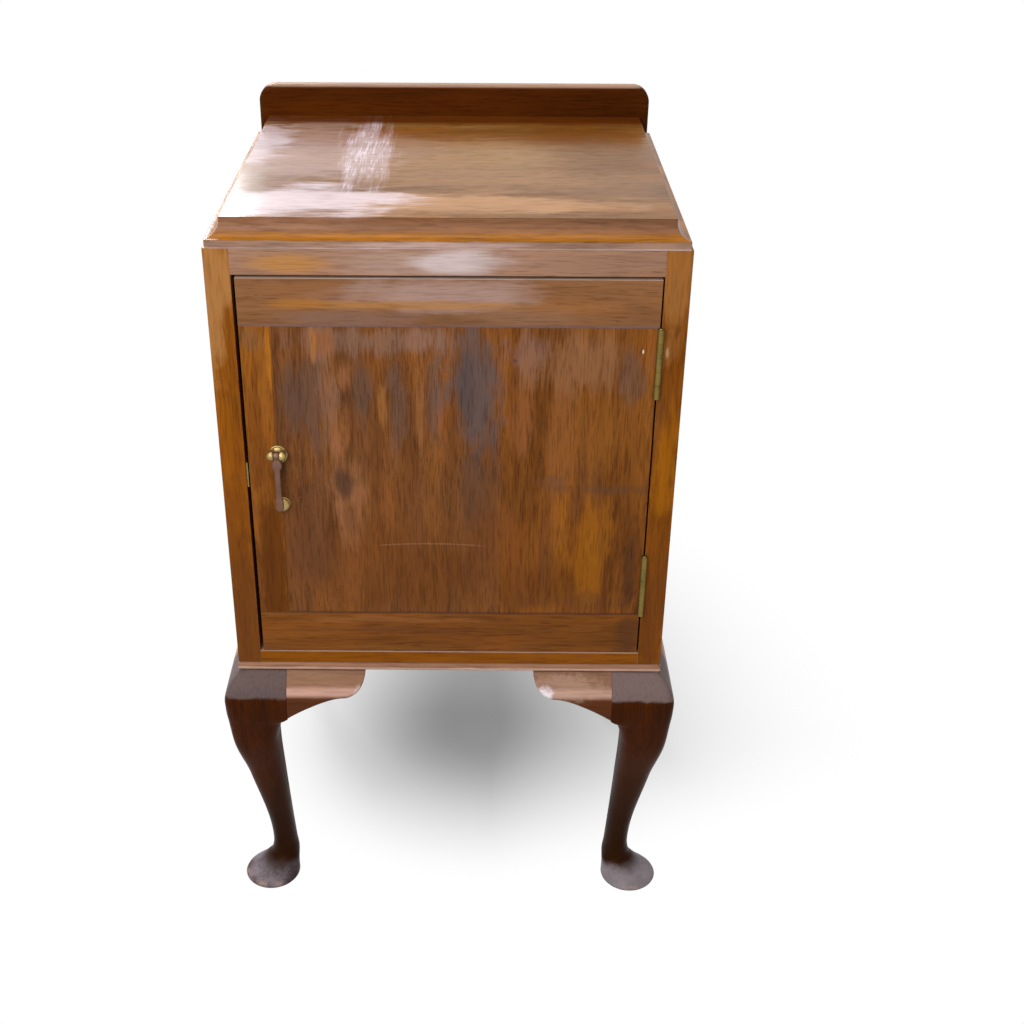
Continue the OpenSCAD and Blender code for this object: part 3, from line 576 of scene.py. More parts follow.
def thin_arc(x, z, half_x, drop, width, colour, amount):
    """A fine scratch that bows upwards, on a front face (mm)."""
    def paint(tree, under, streaks):
        px, _, pz = parts_of(tree, piece_place(tree))
        across = over(tree, minus(tree, px, x * MM), half_x * MM)
        bow = times(tree, times(tree, across, across), drop * MM)
        off = math_of(tree, "ABSOLUTE", math_of(tree, "ADD", minus(tree, pz, z * MM), bow))
        line = spread(tree, off, width * MM, 0.2 * width * MM)
        ends = spread(tree, math_of(tree, "ABSOLUTE", across), 1.0, 0.8)
        broken = spread(tree, noise(tree, joined(tree, px, 0.0, pz), 90.0, 3.0, 0.6), 0.3, 0.6, 0.4, 1.0)
        mask = times(tree, times(tree, line, ends), broken)
        return blended(tree, times(tree, mask, amount), under, rgb(*colour))
    return paint


def level_line(at, width, colour, amount, axis=2):
    """A thin line all along a piece at one height, or with axis 1 at one depth (mm)."""
    def paint(tree, under, streaks):
        level = parts_of(tree, piece_place(tree))[axis]
        off = math_of(tree, "ABSOLUTE", minus(tree, level, at * MM))
        mask = spread(tree, off, width * MM, 0.3 * width * MM, 0.0, amount)
        return blended(tree, mask, under, rgb(*colour))
    return paint


def several(*paints):
    """Several paints, laid one over another."""
    def paint(tree, under, streaks):
        for one in paints:
            under = one(tree, under, streaks)
        return under
    return paint


def top_scuffs(tree, under, streaks):
    """Pale scuffs rubbed across the grain near the top's left end."""
    x, y, _ = parts_of(tree, piece_place(tree))
    drawn = joined(tree, x, over(tree, y, 16.0), 0.0)
    lines = spread(tree, noise(tree, drawn, 420.0, 3.0, 0.7, 0.3), 0.47, 0.62)
    worn = spread(tree, noise(tree, joined(tree, x, y, 0.3), 46.0, 3.0, 0.6), 0.36, 0.6)
    zone = use_group(
        tree, SOFT_MARK, Place=joined(tree, x, y, 0.0), Streaks=noise(tree, drawn, 90.0, 3.0, 0.6),
        Across=-0.079, Up=0.036, Half_across=0.025, Half_up=0.115, Amount=1.0, Ragged=2.4,
    )["Mask"]
    veiled = blended(tree, times(tree, zone, 0.45), under, rgb(196, 176, 180))
    mask = times(tree, times(tree, lines, worn), zone)
    return blended(tree, times(tree, mask, 0.6), veiled, rgb(228, 216, 226))


def leg_sheen(tree, under, streaks):
    """A painted sheen on a leg's head and on the pad of its foot, painted lighter on the right-hand legs,
    the leg darker towards the ankle, and the rubbed rim.
    """
    place = piece_place(tree)
    z = parts_of(tree, place)[2]
    cloud = noise(tree, place, 42.0, 4.0, 0.62)
    ragged = math_of(tree, "MULTIPLY_ADD", minus(tree, cloud, 0.5), 0.012, z)
    ankle = blended(tree, spread(tree, z, 0.20, 0.06, 0.0, 0.8), under, rgb(34, 17, 6))
    # The grey band on the leg's head is a painted sheen
    head = spread(tree, ragged, 0.2435, 0.2475, 0.0, 0.85)
    # The right-hand legs are painted lighter, as lit more
    lit_rightward = spread(tree, parts_of(tree, place)[0], -0.1, 0.15)
    sheened_head = blended(tree, head, ankle, blended(tree, lit_rightward, rgb(104, 90, 89), rgb(126, 108, 105)))
    foot = spread(tree, ragged, 0.020, 0.011, 0.0, 0.9)
    # The pad's mottled greys are a painted sheen
    pad = blended(tree, spread(tree, cloud, 0.36, 0.66), rgb(76, 64, 66), rgb(128, 118, 124))
    pad = blended(tree, times(tree, lit_rightward, 0.6), pad, rgb(166, 156, 162))
    padded = blended(tree, foot, sheened_head, pad)
    rim = spread(tree, z, 0.0082, 0.0055)
    worn = times(tree, rim, spread(tree, noise(tree, place, 85.0, 3.0, 0.6), 0.5, 0.62))
    return blended(tree, times(tree, worn, 0.55), padded, rgb(172, 140, 116))


def bands(*edges, soft=0.7, streaked=1.0):
    """Tones in level bands from the top down: each is the height (mm) of its lower edge and its colour.

    soft is half the height of the blend between two bands, and streaked how far the grain shows in them.
    """
    def paint(tree, under, streaks):
        place = piece_place(tree)
        swing = minus(tree, noise(tree, place, 34.0, 3.0, 0.6), 0.5)
        level = math_of(tree, "MULTIPLY_ADD", swing, 0.0022, parts_of(tree, place)[2])
        lower = None
        for height, colour in edges:
            amount = times(tree, streaks, streaked)
            tone = blended(tree, amount, rgb(*(1.08 * c for c in colour)), rgb(*(0.78 * c for c in colour)))
            cover = 0.85
            if lower is not None:
                cover = spread(tree, level, (lower + soft) * MM, (lower - soft) * MM)
            under = blended(tree, cover, under, tone)
            lower = height
        return under
    return paint


# The first oval is a painted sheen and the last a painted highlight; the two on the left tip are rubbed
# chips
TIP_CHIPS_AND_GLINTS = (
    (108, 256, 44, 12, (196, 160, 140), 0.4),
    (-86, 250, 6, 8, (222, 196, 188), 0.7),
    (-92, 243.5, 6, 3, (222, 184, 124), 0.6),
    (90, 250, 9, 8, (246, 236, 244), 0.9),
)


def tip_chips_and_glints(tree, under, streaks):
    """The front brackets' tips: rubbed chips on the left one, a painted highlight on the right one, and a
    painted sheen that makes the right bracket paler.
    """
    ragged = noise(tree, piece_place(tree), 160.0, 3.0, 0.65)
    return with_marks(tree, under, facing(tree, "xz"), ragged, TIP_CHIPS_AND_GLINTS, 1.4)


def top_only(paint):
    """Keeps a paint to the flat of the top board."""
    def limited(tree, under, streaks):
        z = parts_of(tree, piece_place(tree))[2]
        return blended(tree, spread(tree, z, 0.7090, 0.7098), under, paint(tree, under, streaks))
    return limited


def worked_edge(tree, under, streaks):
    """The top board's worked edge in painted light and shade: a hollow painted darker brown above and
    brighter orange at its foot, pale bands below it that are a painted highlight, and a painted sheen.
    """
    z = parts_of(tree, piece_place(tree))[2]
    # Painted shade and light down the hollow, then a painted highlight on the pale edge
    toned = bands(
        (698.4, (150, 104, 74)), (694.0, (158, 98, 26)), (688.4, (170, 132, 112)), (0, (214, 184, 176)),
    )(tree, under, streaks)
    # A painted sheen along the edge
    sheen = (-5, 691, 80, 2.2, (210, 180, 174), 0.55)
    toned = with_marks(tree, toned, facing(tree, "xz"), streaks, [sheen], 0.5)
    return blended(tree, spread(tree, z, 0.7094, 0.7100), toned, under)


# What the top shows, with x and y in place of x and z; the pale grey-lilac ovals at the left and the lighter
# band along the front are painted glare
TOP_TONES_AND_GLARE = (
    (0, -10, 130, 120, (146, 106, 68), 0.6),
    (-60, 60, 50, 50, (140, 104, 80), 0.5),
    (70, 20, 60, 60, (140, 104, 60), 0.5),
    (116, 96, 64, 50, (106, 60, 18), 0.8),
    (146, 10, 54, 70, (108, 70, 34), 0.7),
    (10, -130, 150, 28, (180, 134, 92), 0.65),
    (140, -70, 50, 60, (136, 98, 64), 0.5),
    (-130, 20, 62, 130, (176, 150, 146), 0.5),
    (-118, 78, 34, 44, (146, 112, 96), 0.6),
    (-176, 70, 26, 62, (206, 190, 198), 0.5),
    (-128, -118, 88, 46, (216, 200, 208), 0.68),
)


def case_finishes():
    """The case's boards and mouldings, its legs, and the plain wood inside and behind."""
    wood(
        "case_wood", (164, 96, 14), (104, 52, 6), "z", 1.0, stripes=46, contrast=0.8, warmth=0.3,
        rub=(206, 160, 110), rub_amount=0.5, marks=(
            # On the stiles the lighter ovals high up and the darker ones low down are painted light and
            # shade, as from light above
            (-192, 655, 16, 70, (182, 128, 74), 0.75), (190, 655, 16, 70, (168, 112, 58), 0.65),
            (-190, 350, 18, 110, (104, 55, 18), 0.75), (190, 350, 18, 110, (106, 56, 20), 0.7),
            (190, 490, 16, 70, (170, 102, 10), 0.6), (-190, 480, 16, 60, (146, 78, 12), 0.4),
            (184.5, 598, 1.4, 5, (206, 176, 130), 0.5), (189, 585, 1.5, 4, (96, 56, 26), 0.6),
        ),
    )
    wood(
        "rail_wood", (178, 136, 110), (146, 106, 84), "x", 2.0, contrast=0.5, rub_amount=0.2,
        marks=RAIL_TONES_AND_SHEEN, ragged=0.4,
    )
    wood(
        "bottom_wood", (140, 78, 4), (100, 48, 2), "x", 3.0, rub=(216, 186, 160), rub_amount=0.3,
        # The pale line along the top edge is a painted highlight
        extra=level_line(291.6, 0.9, (216, 190, 176), 0.4),
    )
    wood(
        "top_wood", (136, 92, 42), (88, 50, 16), "x", 4.0, stripes=30, length=10, contrast=0.7,
        gloss=0.15, shine=0.08, tint=(1.0, 1.0, 1.0), plane="xy", rub_amount=0.0, vary=0.05, ragged=0.8,
        marks=TOP_TONES_AND_GLARE, extra=several(
            # The dark band across the back of the top is a painted reflection of the gallery
            top_only(top_scuffs), top_only(level_line(150, 22, (84, 36, 4), 0.92, 1)), worked_edge,
        ),
    )
    wood(
        "gallery_wood", (84, 38, 5), (58, 24, 3), "x", 5.0, contrast=0.8, rub=(196, 160, 136),
        rub_radius=0.002, rub_amount=0.5, shine=0.03, gloss=0.36, warm=(110, 54, 8), dull=(50, 22, 8),
        # The pale band along the top edge is a painted highlight
        extra=level_line(741.2, 3.2, (172, 140, 120), 0.8),
    )
    wood(
        "moulding_wood", (150, 108, 80), (120, 80, 56), "x", 6.0, rub=(226, 204, 190), rub_radius=0.002,
        # The pale lower band is a painted highlight
        rub_amount=0.6, extra=bands((274, (158, 114, 90)), (0, (214, 174, 152)), streaked=0.7),
    )
    wood(
        "leg_wood", (74, 32, 8), (40, 18, 6), "z", 7.0, stripes=40, rub=(112, 84, 70), gloss=0.34,
        warm=(96, 44, 12), dull=(34, 20, 14), warmth=0.4, shine=0.06, tint=(1.0, 0.55, 0.3),
        extra=leg_sheen,
    )
    wood(
        "bracket_wood", (140, 96, 66), (108, 66, 40), "x", 8.0, rub=(206, 176, 156), rub_amount=0.3,
        extra=several(
            # Bands of painted light and shade: a dull sheen above, a pale pink highlight across the middle,
            # and shade where the face turns under
            bands(
                (256, (138, 102, 80)), (248, (190, 148, 132)), (0, (88, 46, 22)), soft=2.6, streaked=0.5,
            ),
            tip_chips_and_glints,
        ),
    )
    wood(
        "plain_wood", (176, 132, 88), (140, 98, 60), "x", 14.0, rub=(190, 150, 110), gloss=0.6,
        shine=0.15,
    )


def door_finishes():
    joint = (70, 42, 38)
    cleat_joints = (level_line(620.4, 1.3, (104, 76, 70), 0.6), level_line(336.2, 1.2, joint, 0.5))
    wood(
        "door_left_wood", (158, 94, 28), (88, 44, 12), "z", 9.0, stripes=54, marks=LEFT_BOARD_MARKS,
        rub_amount=0.15, lining=0.4, contrast=0.85,
    )
    wood(
        "door_middle_wood", (140, 86, 42), (88, 50, 24), "z", 10.0, stripes=46, length=12, lining=0.42,
        marks=MIDDLE_BOARD_TONES_AND_REFLECTION, rub_amount=0.0, scratches=0.06, contrast=0.8,
        extra=several(thin_arc(-16, 410.3, 52, 2.6, 1.1, (176, 132, 104), 0.32), *cleat_joints),
    )
    wood(
        "door_right_wood", (150, 90, 32), (88, 46, 16), "z", 10.0, stripes=46, length=12, lining=0.42,
        marks=RIGHT_BOARD_MARKS, rub_amount=0.0, contrast=0.8,
        extra=several(thin_arc(164.2, 599, 0.7, 0, 2.4, (244, 236, 220), 1.0), *cleat_joints),
    )
    wood(
        "door_head_wood", (150, 104, 68), (118, 76, 46), "x", 12.0, contrast=0.6, marks=TOP_CLEAT_TONES_AND_SHEEN,
        ragged=0.5, rub=(210, 180, 150), rub_amount=0.35, extra=several(
            # The pale line at the top edge is a painted highlight; the darker one below is the joint
            level_line(621, 2.0, (122, 94, 90), 0.7), level_line(662.6, 0.9, (206, 184, 172), 0.6),
        ),
    )
    wood(
        "door_foot_wood", (134, 80, 32), (94, 50, 16), "x", 13.0, contrast=0.7, marks=FOOT_CLEAT_MARKS,
        rub_amount=0.0, lining=0.35, extra=level_line(335.2, 1.4, joint, 0.5),
    )


# ------------------------ metal finishes


def metal(name, bright, tarnish, rough=0.35, dirt=0.6):
    """Makes a finish of rubbed metal with tarnish in its hollows."""
    material, tree = new_material(name)
    shader = shader_of(tree, Metallic=1.0)
    place = piece_place(tree)
    cloud = noise(tree, place, 60.0, 4.0, 0.65)
    hollow = tree.nodes.new("ShaderNodeAmbientOcclusion")
    hollow.samples = 6
    hollow.only_local = True
    hollow.inputs["Distance"].default_value = 0.004
    deep = spread(tree, hollow.outputs["AO"], 0.35, 0.95, 1.0, 0.0)
    cover = math_of(tree, "MAXIMUM", deep, spread(tree, cloud, 0.45, 0.75, 0.0, 0.55))
    colour = blended(tree, times(tree, cover, dirt, clamp=True), rgb(*bright), rgb(*tarnish))
    put(tree, shader.inputs["Base Color"], colour)
    put(tree, shader.inputs["Roughness"], spread(tree, cloud, 0.3, 0.7, rough, rough + 0.2))
    bump_into(tree, shader, noise(tree, place, 700.0, 3.0, 0.6), 0.12, 0.0003)
    FINISH[name] = material


def metal_finishes():
    metal("hinge_brass", (124, 106, 56), (54, 46, 24), 0.42, 1.0)
    metal("hinge_screw_brass", (168, 140, 84), (60, 48, 28), 0.4)
    metal("pull_brass", (176, 152, 98), (84, 64, 38), 0.34, 0.85)
    metal("drop_bronze", (116, 86, 72), (76, 52, 42), 0.42, 0.6)
    metal("catch_brass", (190, 160, 98), (80, 62, 34), 0.35)
    metal("catch_steel", (190, 190, 188), (96, 92, 88), 0.25)
    metal("screw_steel", (150, 146, 138), (70, 64, 58), 0.45)


case_finishes()
door_finishes()
metal_finishes()


def finish_nodes():
    """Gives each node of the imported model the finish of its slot."""
    for part in frame["record"]["subparts"]:
        mesh = frame["nodes"][part["node"]].data
        mesh.materials.clear()
        mesh.materials.append(FINISH[part["material_slot"]])


finish_nodes()


# ------------------------ making pieces


def new_piece(name, shells, slot, body, replaced, sharp=40.0):
    """One piece from closed shells of points (metres) and faces, standing for a CAD node."""
    points, faces = [], []
    for shell_points, shell_faces in shells:
        start = len(points)
        points += shell_points
        faces += [[start + i for i in face] for face in shell_faces]
    mesh = bpy.data.meshes.new(name)
    mesh.from_pydata(points, [], faces)
    skin = bmesh.new()
    skin.from_mesh(mesh)
    bmesh.ops.remove_doubles(skin, verts=skin.verts, dist=1e-6)
    bmesh.ops.dissolve_degenerate(skin, edges=skin.edges, dist=1e-7)
    bmesh.ops.recalc_face_normals(skin, faces=skin.faces)
    skin.to_mesh(mesh)
    skin.free()
    mesh.shade_smooth()
    mesh.set_sharp_from_angle(angle=math.radians(sharp))
    mesh.materials.append(FINISH[slot])
    piece = placed(name, mesh)
    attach(piece, body)
    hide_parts(replaced)
    return piece


def loft(rings):
    """A closed skin over a stack of rings with the same number of points."""
    count = len(rings[0])
    points = [point for ring in rings for point in ring]
    faces = [list(range(count)), list(range(len(points) - count, len(points)))]
    for start in range(0, len(points) - count, count):
        for i in range(count):
            j = (i + 1) % count
            faces.append([start + i, start + j, start + count + j, start + count + i])
    return points, faces


def turned(profile, centre, along_x=False, steps=40):
    """A turned shape: profile is (radius, height) in mm, standing out to the front or along X."""
    smallest = 0.01
    rings = []
    for radius, height in profile:
        ring = []
        for i in range(steps):
            angle = 2 * math.pi * i / steps
            side, up = max(radius, smallest) * math.cos(angle), max(radius, smallest) * math.sin(angle)
            offset = (height, side, up) if along_x else (side, -height, up)
            ring.append(tuple(c + o * MM for c, o in zip(centre, offset)))
        rings.append(ring)
    return loft(rings)


def smooth_between(stations, at, column):
    """A value between stations, without overshoot, as the part's source reckons it."""
    def rise(i):
        return (stations[i + 1][column] - stations[i][column]) / (stations[i + 1][0] - stations[i][0])

    def slope(i):
        if i == 0 or i == len(stations) - 1:
            return rise(min(i, len(stations) - 2))
        before, after = rise(i - 1), rise(i)
        return 0 if before * after <= 0 else 2 * before * after / (before + after)

    i = 0
    while i < len(stations) - 2 and at > stations[i + 1][0]:
        i += 1
    span = stations[i + 1][0] - stations[i][0]
    t = (at - stations[i][0]) / span
    return (
        (2 * t**3 - 3 * t**2 + 1) * stations[i][column] + (t**3 - 2 * t**2 + t) * slope(i) * span
        + (3 * t**2 - 2 * t**3) * stations[i + 1][column] + (t**3 - t**2) * slope(i + 1) * span
    )


# ------------------------ legs and brackets

# The case, the legs and their blocks, and the brackets, as the part's source has them (mm)
HALF_W, HALF_D = 200, 176.5
LEG_H = 269
BLOCK_W = 45
BRACKET_L, BRACKET_T, BRACKET_TIP, BRACKET_WAIST, BRACKET_ROOT = 75, 20, 22, 24, 47
BRACKET_LEAST, BRACKET_ROUND = 0.8, 3.0

# Stations up a leg: height, outer face and inner face measured in from the case's corner, squareness
LEG_LINE = (
    (0, -10, 38, 2),
    (1.4, -12.6, 40.6, 2),
    (4, -14, 42, 2),
    (13, 1.5, 41, 2),
    (23, 12.75, 41.1, 2),
    (37, 15, 39.5, 2.1),
    (137.5, -0.5, 34, 2.9),
    (186, -11.66, 32, 4.2),
    (217, -14.88, 40, 5.6),
    (222, -15.52, 45, 6.2),
    (238, -16, 45, 7.5),
    (253, -12.16, 45, 9),
    (269, 0, 45, 12),
)

# Beside the brackets a block's corners turn near square: from this height, over this rise, to this power
SQUARE_FROM, SQUARE_RISE, NEAR_SQUARE = 216, 6, 60

# A leg's rings are evenly spaced, with more of them in the foot
LEG_STEPS = 96
FOOT_HEIGHTS = (0.7, 1.4, 2.6, 4, 6, 8, 10, 12.5, 14.7, 17, 19)


def squared(value, power):
    """A sine or cosine, drawn out so that a ring runs from round (2) to square."""
    return math.copysign(abs(value) ** (2 / power), value)


def leg_ring(z, side_x, side_y, steps=56):
    """A level section through a leg."""
    out, inner, power = (smooth_between(LEG_LINE, z, column) for column in (1, 2, 3))
    middle, half = (out + inner) / 2, (inner - out) / 2
    square = min(max((z - SQUARE_FROM) / SQUARE_RISE, 0), 1)
    ring = []
    for i in range(steps):
        angle = 2 * math.pi * i / steps
        beside_bracket = math.cos(angle) * math.sin(angle) < 0
        turn = power + (NEAR_SQUARE - power) * square if beside_bracket else power
        across = HALF_W - middle - half * squared(math.cos(angle), turn)
        deep = HALF_D - middle - half * squared(math.sin(angle), turn)
        ring.append((side_x * across * MM, side_y * deep * MM, z * MM))
    return ring


def make_legs():
    heights = sorted({*(LEG_H * i / LEG_STEPS for i in range(LEG_STEPS + 1)), *FOOT_HEIGHTS})
    for side_x, side in ((-1, "left"), (1, "right")):
        for side_y, end in ((-1, "front"), (1, "rear")):
            rings = [leg_ring(z, side_x, side_y) for z in heights]
            name = f"cabriole_leg_{end}_{side}"
            new_piece(name, [loft(rings)], "leg_wood", "case", f"leg_{end}_{side}", 50)


def bracket_drop(x):
    """How far a bracket hangs down at x from its tip."""
    if x < BRACKET_TIP:
        return BRACKET_WAIST * math.sqrt(1 - (1 - x / BRACKET_TIP) ** 2)
    share = (x - BRACKET_TIP) / (BRACKET_L - BRACKET_TIP)
    return BRACKET_WAIST + (BRACKET_ROOT - BRACKET_WAIST) * share**1.6


def bracket_section(x):
    """A section through a bracket: in from the case's face, and height."""
    low = LEG_H - max(bracket_drop(x), BRACKET_LEAST)
    turn = min(BRACKET_ROUND, (LEG_H - low) * 0.45)
    section = [(BRACKET_T, LEG_H)]
    for i in range(15):
        z = LEG_H - (LEG_H - low - turn) * i / 14
        section.append((smooth_between(LEG_LINE, z, 1), z))
    face = section[-1][0]
    for i in range(1, 6):
        angle = math.pi / 2 * i / 5
        section.append((face + turn * (1 - math.cos(angle)), low + turn * (1 - math.sin(angle))))
    section.append((BRACKET_T, low))
    return section


def make_brackets():
    places = [BRACKET_TIP * (1 - math.cos(math.pi / 2 * i / 14)) for i in range(15)]
    places += [BRACKET_TIP + (BRACKET_L - BRACKET_TIP) * i / 22 for i in range(1, 23)]
    for side_x, side in ((-1, "left"), (1, "right")):
        rings = [
            [(side_x * (HALF_W - BLOCK_W - BRACKET_L + x) * MM, (y - HALF_D) * MM, z * MM)
             for y, z in bracket_section(x)]
            for x in places
        ]
        new_piece(
            f"shaped_bracket_front_{side}", [loft(rings)], "bracket_wood", "case", f"bracket_front_{side}"
        )
        for side_y, end in ((-1, "front"), (1, "rear")):
            rings = [
                [(side_x * (HALF_W - y) * MM, side_y * (HALF_D - BLOCK_W - BRACKET_L + x) * MM, z * MM)
                 for y, z in bracket_section(x)]
                for x in places
            ]
            new_piece(
                f"shaped_bracket_{side}_{end}", [loft(rings)], "bracket_wood", "case",
                f"bracket_side_{side}_{end}",
            )


# ------------------------ gallery


def gallery_outline(inset, low, high, half_x, radius=17, steps=16):
    """The gallery's outline from the front, drawn in by inset at its ends and top."""
    points = [(-half_x + inset, low), (half_x - inset, low)]
    for side in (1, -1):
        for i in range(steps + 1):
            angle = math.pi / 2 * (i if side > 0 else steps - i) / steps
            points.append((
                side * (half_x - radius + (radius - inset) * math.cos(angle)),
                high - radius + (radius - inset) * math.sin(angle),
            ))
    return points


def rounded_over(face, inward, radius, steps):
    """Layers of a quarter round up to a face: depth (metres), and how far the outline draws in (mm)."""
    layers = []
    for i in range(steps + 1):
        angle = math.pi / 2 * i / steps
        depth = face + inward * radius * MM * (1 - math.sin(angle))
        layers.append((depth, radius * (1 - math.cos(angle))))
    return layers


def make_gallery():
    """The low board behind the top, rounded over along its top and ends, more in front than behind."""
    low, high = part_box("gallery")
    layers = rounded_over(low[1], 1, 4, 6)[::-1] + rounded_over(high[1], -1, 2, 4)
    rings = [
        [(x * MM, depth, z * MM) for x, z in gallery_outline(inset, low[2] / MM, high[2] / MM, high[0] / MM)]
        for depth, inset in layers
    ]
    new_piece("rounded_gallery", [loft(rings)], "gallery_wood", "case", "gallery", 50)


# ------------------------ pull

# The drop's pivot, how far it stands out from the door, and the plate and the two balls behind it
PIVOT = (-149.3 * MM, -186.1 * MM, 503.55 * MM)
PULL_OUT = 9.6
PLATE_DROP = 3
BALL_R, BALL_X, BALL_FACE = 4.2, 4.6, 2.8
DOOR_Y = PIVOT[1] + PULL_OUT * MM


def make_pull_mount():
    """The round plate with its post, and two balls on short necks."""
    plate = turned(
        (
            (0, -23), (1.5, -23), (2, -22.5), (2, 0), (8.3, 0), (8.6, 0.3), (8.6, 1.0), (8.3, 1.5),
            (7.8, 1.75), (7.3, 1.6), (7.0, 1.25), (6.7, 1.3), (6.2, 1.75), (5.2, 2.35), (3.8, 2.85),
            (2.0, 3.15), (0, 3.2),
        ),
        (PIVOT[0], DOOR_Y, PIVOT[2] - PLATE_DROP * MM),
    )
    shells = [plate]
    for side in (-1, 1):
        profile = [(0, 0.4), (3.6, 0.4), (3.4, 1.6), (2.7, 2.6), (2.5, 4.4), (2.7, 5.4)]
        for i in range(5, 25):
            angle = math.pi * i / 24
            profile.append((BALL_R * math.sin(angle), PULL_OUT - BALL_R * math.cos(angle)))
        centre = (PIVOT[0] + side * BALL_X * MM, DOOR_Y, PIVOT[2])
        points, faces = turned(profile, centre, steps=32)
        edge = PIVOT[0] + side * BALL_FACE * MM
        keep = max if side > 0 else min
        shells.append(([(keep(x, edge), y, z) for x, y, z in points], faces))
    new_piece("pull_plate_and_balls", shells, "pull_brass", "door", "pull_mount")


# The drop down from its pivot: distance, half width, half thickness
DROP_LINE = (
    (0.6, 2.5, 1.5), (3.4, 2.6, 1.75), (4.8, 2.9, 1.8), (6.2, 3.9, 1.95), (7.8, 4.4, 2.05), (9.3, 4.5, 2.1),
    (10.8, 4.4, 2.05), (12.2, 3.9, 1.95), (13.6, 3.0, 1.8), (15.4, 2.6, 1.7), (39, 2.6, 1.65),
    (42, 2.95, 1.65), (45.4, 3.6, 1.7), (49, 3.7, 1.7), (52, 3.6, 1.65), (53.8, 2.9, 1.55), (55, 1.7, 1.3),
    (55.6, 0.3, 0.4),
)


def make_drop():
    """The hanging drop: an eye on the pivot, a small round head, a straight bar and a wider tip."""
    first, last = DROP_LINE[0][0], DROP_LINE[-1][0]
    steps, ring_steps, power = 110, 28, 3.2
    rings = []
    for i in range(steps + 1):
        down = first + (last - first) * i / steps
        wide, thick = (smooth_between(DROP_LINE, down, column) for column in (1, 2))
        ring = []
        for k in range(ring_steps):
            angle = 2 * math.pi * k / ring_steps
            ring.append((
                PIVOT[0] + wide * squared(math.cos(angle), power) * MM,
                PIVOT[1] + thick * squared(math.sin(angle), power) * MM,
                PIVOT[2] - down * MM,
            ))
        rings.append(ring)
    eye = turned(((0, -2.6), (3.1, -2.6), (3.6, -2.1), (3.6, 2.1), (3.1, 2.6), (0, 2.6)), PIVOT, True, 32)
    new_piece("hanging_drop", [loft(rings), eye], "drop_bronze", "pull", "drop_pull", 50)


def make_rest_stud():
    """The domed stud that the drop rests on, with a fine groove round its foot."""
    low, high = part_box("rest_stud")
    radius, foot, rise, spring_angle, steps = 6.6, 1.9, 5.7, math.radians(82), 12
    profile = [
        (0, -11), (1.3, -9.6), (1.3, 0), (6.5, 0), (radius, 0.9), (6.2, 1.15), (6.05, 1.4), (6.2, 1.7),
    ]
    for i in range(steps + 1):
        angle = spring_angle * (1 - i / steps)
        profile.append((radius * math.sin(angle) / math.sin(spring_angle), foot + rise * math.cos(angle)))
    centre = ((low[0] + high[0]) / 2, DOOR_Y, (low[2] + high[2]) / 2)
    new_piece("domed_rest_stud", [turned(profile, centre)], "pull_brass", "door", "rest_stud")


def make_catch_spring():
    """The coil behind the catch's ball, on a mesh of its own."""
    low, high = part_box("catch_spring")
    wire = 0.3 * MM
    middle = ((low[1] + high[1]) / 2, (low[2] + high[2]) / 2)
    coil = (high[2] - low[2]) / 2 - wire
    run = high[0] - low[0] - 2 * wire
    turns, steps, wire_steps = 6, 28, 8
    rings = []
    for i in range(turns * steps + 1):
        angle = 2 * math.pi * i / steps
        along_x = low[0] + wire + run * i / (turns * steps)
        ring = []
        for k in range(wire_steps):
            round_wire = -2 * math.pi * k / wire_steps
            reach = coil + wire * math.cos(round_wire)
            ring.append((
                along_x + wire * math.sin(round_wire),
                middle[0] + reach * math.cos(angle),
                middle[1] + reach * math.sin(angle),
            ))
        rings.append(ring)
    spring = new_piece("coil_spring", [loft(rings)], "catch_steel", "door", "catch_spring", 60)
    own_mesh(spring)


make_legs()
make_brackets()
make_gallery()
make_pull_mount()
make_drop()
make_rest_stud()
make_catch_spring()


# ------------------------ floor, world and lamps

WORLD_LEVEL = 0.26
FLOOR_COLOUR = (0.34, 0.34, 0.34, 1)
FLOOR_HALF = 14.0

# The shadow's middle on the floor, how far it reaches each way, and where it starts and ends its fade
SHADOW_X, SHADOW_Y = 0.044, 0.09
REACH_LEFT, REACH_RIGHT, REACH_FRONT, REACH_BACK = 0.28, 0.44, 0.26, 0.75
FADE_FROM, FADE_TO = 0.14, 1.05


def seen_ray(tree):
    """1 for what the camera, gloss and glass see, and 0 for the rays that light the cupboard."""
    path = tree.nodes.new("ShaderNodeLightPath").outputs
    mirrored = math_of(tree, "MAXIMUM", path["Is Glossy Ray"], path["Is Transmission Ray"])
    return math_of(tree, "MAXIMUM", path["Is Camera Ray"], mirrored)


def set_world():
    """White where it is seen, and a plain level where it lights."""
    world = bpy.data.worlds.new("studio")
    world.use_nodes = True
    tree = world.node_tree
    background = tree.nodes["Background"]
    background.inputs["Color"].default_value = (1, 1, 1, 1)
    put(tree, background.inputs["Strength"], spread(tree, seen_ray(tree), 0.0, 1.0, WORLD_LEVEL, 1.0))
    bpy.context.scene.world = world


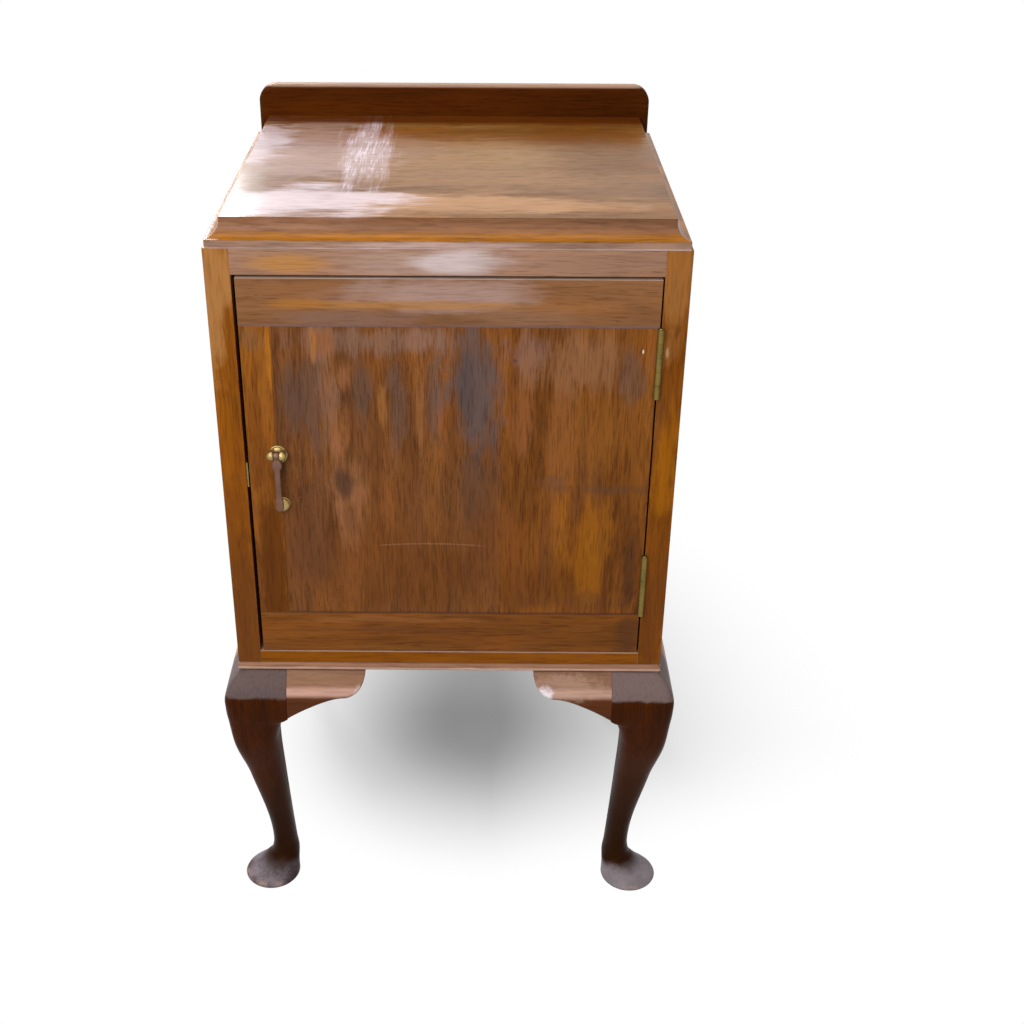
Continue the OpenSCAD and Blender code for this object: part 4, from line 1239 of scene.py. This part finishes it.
def set_floor():
    """A plain pale floor that keeps the cupboard's shadow, and runs out to white."""
    mesh = bpy.data.meshes.new("floor")
    corners = [(x * FLOOR_HALF, y * FLOOR_HALF, 0) for x, y in ((-1, -1), (1, -1), (1, 1), (-1, 1))]
    mesh.from_pydata(corners, [], [(0, 1, 2, 3)])
    floor = placed("floor", mesh)
    material, tree = new_material("floor")
    shader = shader_of(tree, Roughness=0.9, **{"Base Color": FLOOR_COLOUR, "Specular IOR Level": 0.0})
    white = tree.nodes.new("ShaderNodeEmission")
    mix = tree.nodes.new("ShaderNodeMixShader")
    away = spread(tree, away_from_shadow(tree), FADE_FROM, FADE_TO)
    put(tree, mix.inputs[0], times(tree, away, seen_ray(tree)))
    put(tree, mix.inputs[1], shader.outputs[0])
    put(tree, mix.inputs[2], white.outputs[0])
    put(tree, tree.nodes["Material Output"].inputs["Surface"], mix.outputs[0])
    mesh.materials.append(material)


def part_way(tree, value, side, reach):
    """How far a value runs to one side of zero, MINIMUM or MAXIMUM, as a share of a reach."""
    return over(tree, math_of(tree, side, value, 0.0), reach)


def away_from_shadow(tree):
    """How far a point of the floor is from the middle of the shadow: 1 is at its soft rim.

    To the right the shadow thins quickly and then trails off, so that side's reach is a square root.
    """
    x, y, _ = parts_of(tree, piece_place(tree))
    across = minus(tree, x, SHADOW_X)
    deep = minus(tree, y, SHADOW_Y)
    total = part_way(tree, across, "MAXIMUM", REACH_RIGHT)
    for value, side, reach in (
        (across, "MINIMUM", REACH_LEFT), (deep, "MINIMUM", REACH_FRONT), (deep, "MAXIMUM", REACH_BACK),
    ):
        share = part_way(tree, value, side, reach)
        total = math_of(tree, "MULTIPLY_ADD", share, share, total)
    return math_of(tree, "SQRT", total)


def lamp(name, place, aim, size, power, colour=(1, 1, 1)):
    """A soft oblong lamp that faces a point. Places and sizes are in metres, its power in watts."""
    light = bpy.data.lights.new(name, "AREA")
    light.shape = "RECTANGLE"
    light.size, light.size_y = size
    light.energy = power
    light.color = colour
    stand = placed(name, light)
    stand.location = place
    stand.rotation_euler = (Vector(aim) - Vector(place)).to_track_quat("-Z", "Y").to_euler()


def set_lamps():
    lamp("key", (-0.95, -2.1, 1.95), (0, 0, 0.45), (1.7, 1.1), 43)
    lamp("low_front", (-0.2, -3.2, 1.0), (0, 0, 0.4), (2.2, 0.7), 13)
    lamp("overhead", (-0.5, 0.0, 4.0), (0, 0, 0), (2.2, 2.2), 75)
    lamp("window", (-1.12, 2.7, 2.12), (-0.1, 0, 0.7), (1.0, 1.2), 105, (0.95, 0.97, 1.0))


set_world()
set_floor()
set_lamps()

bpy.context.scene.view_settings.view_transform = "Standard"
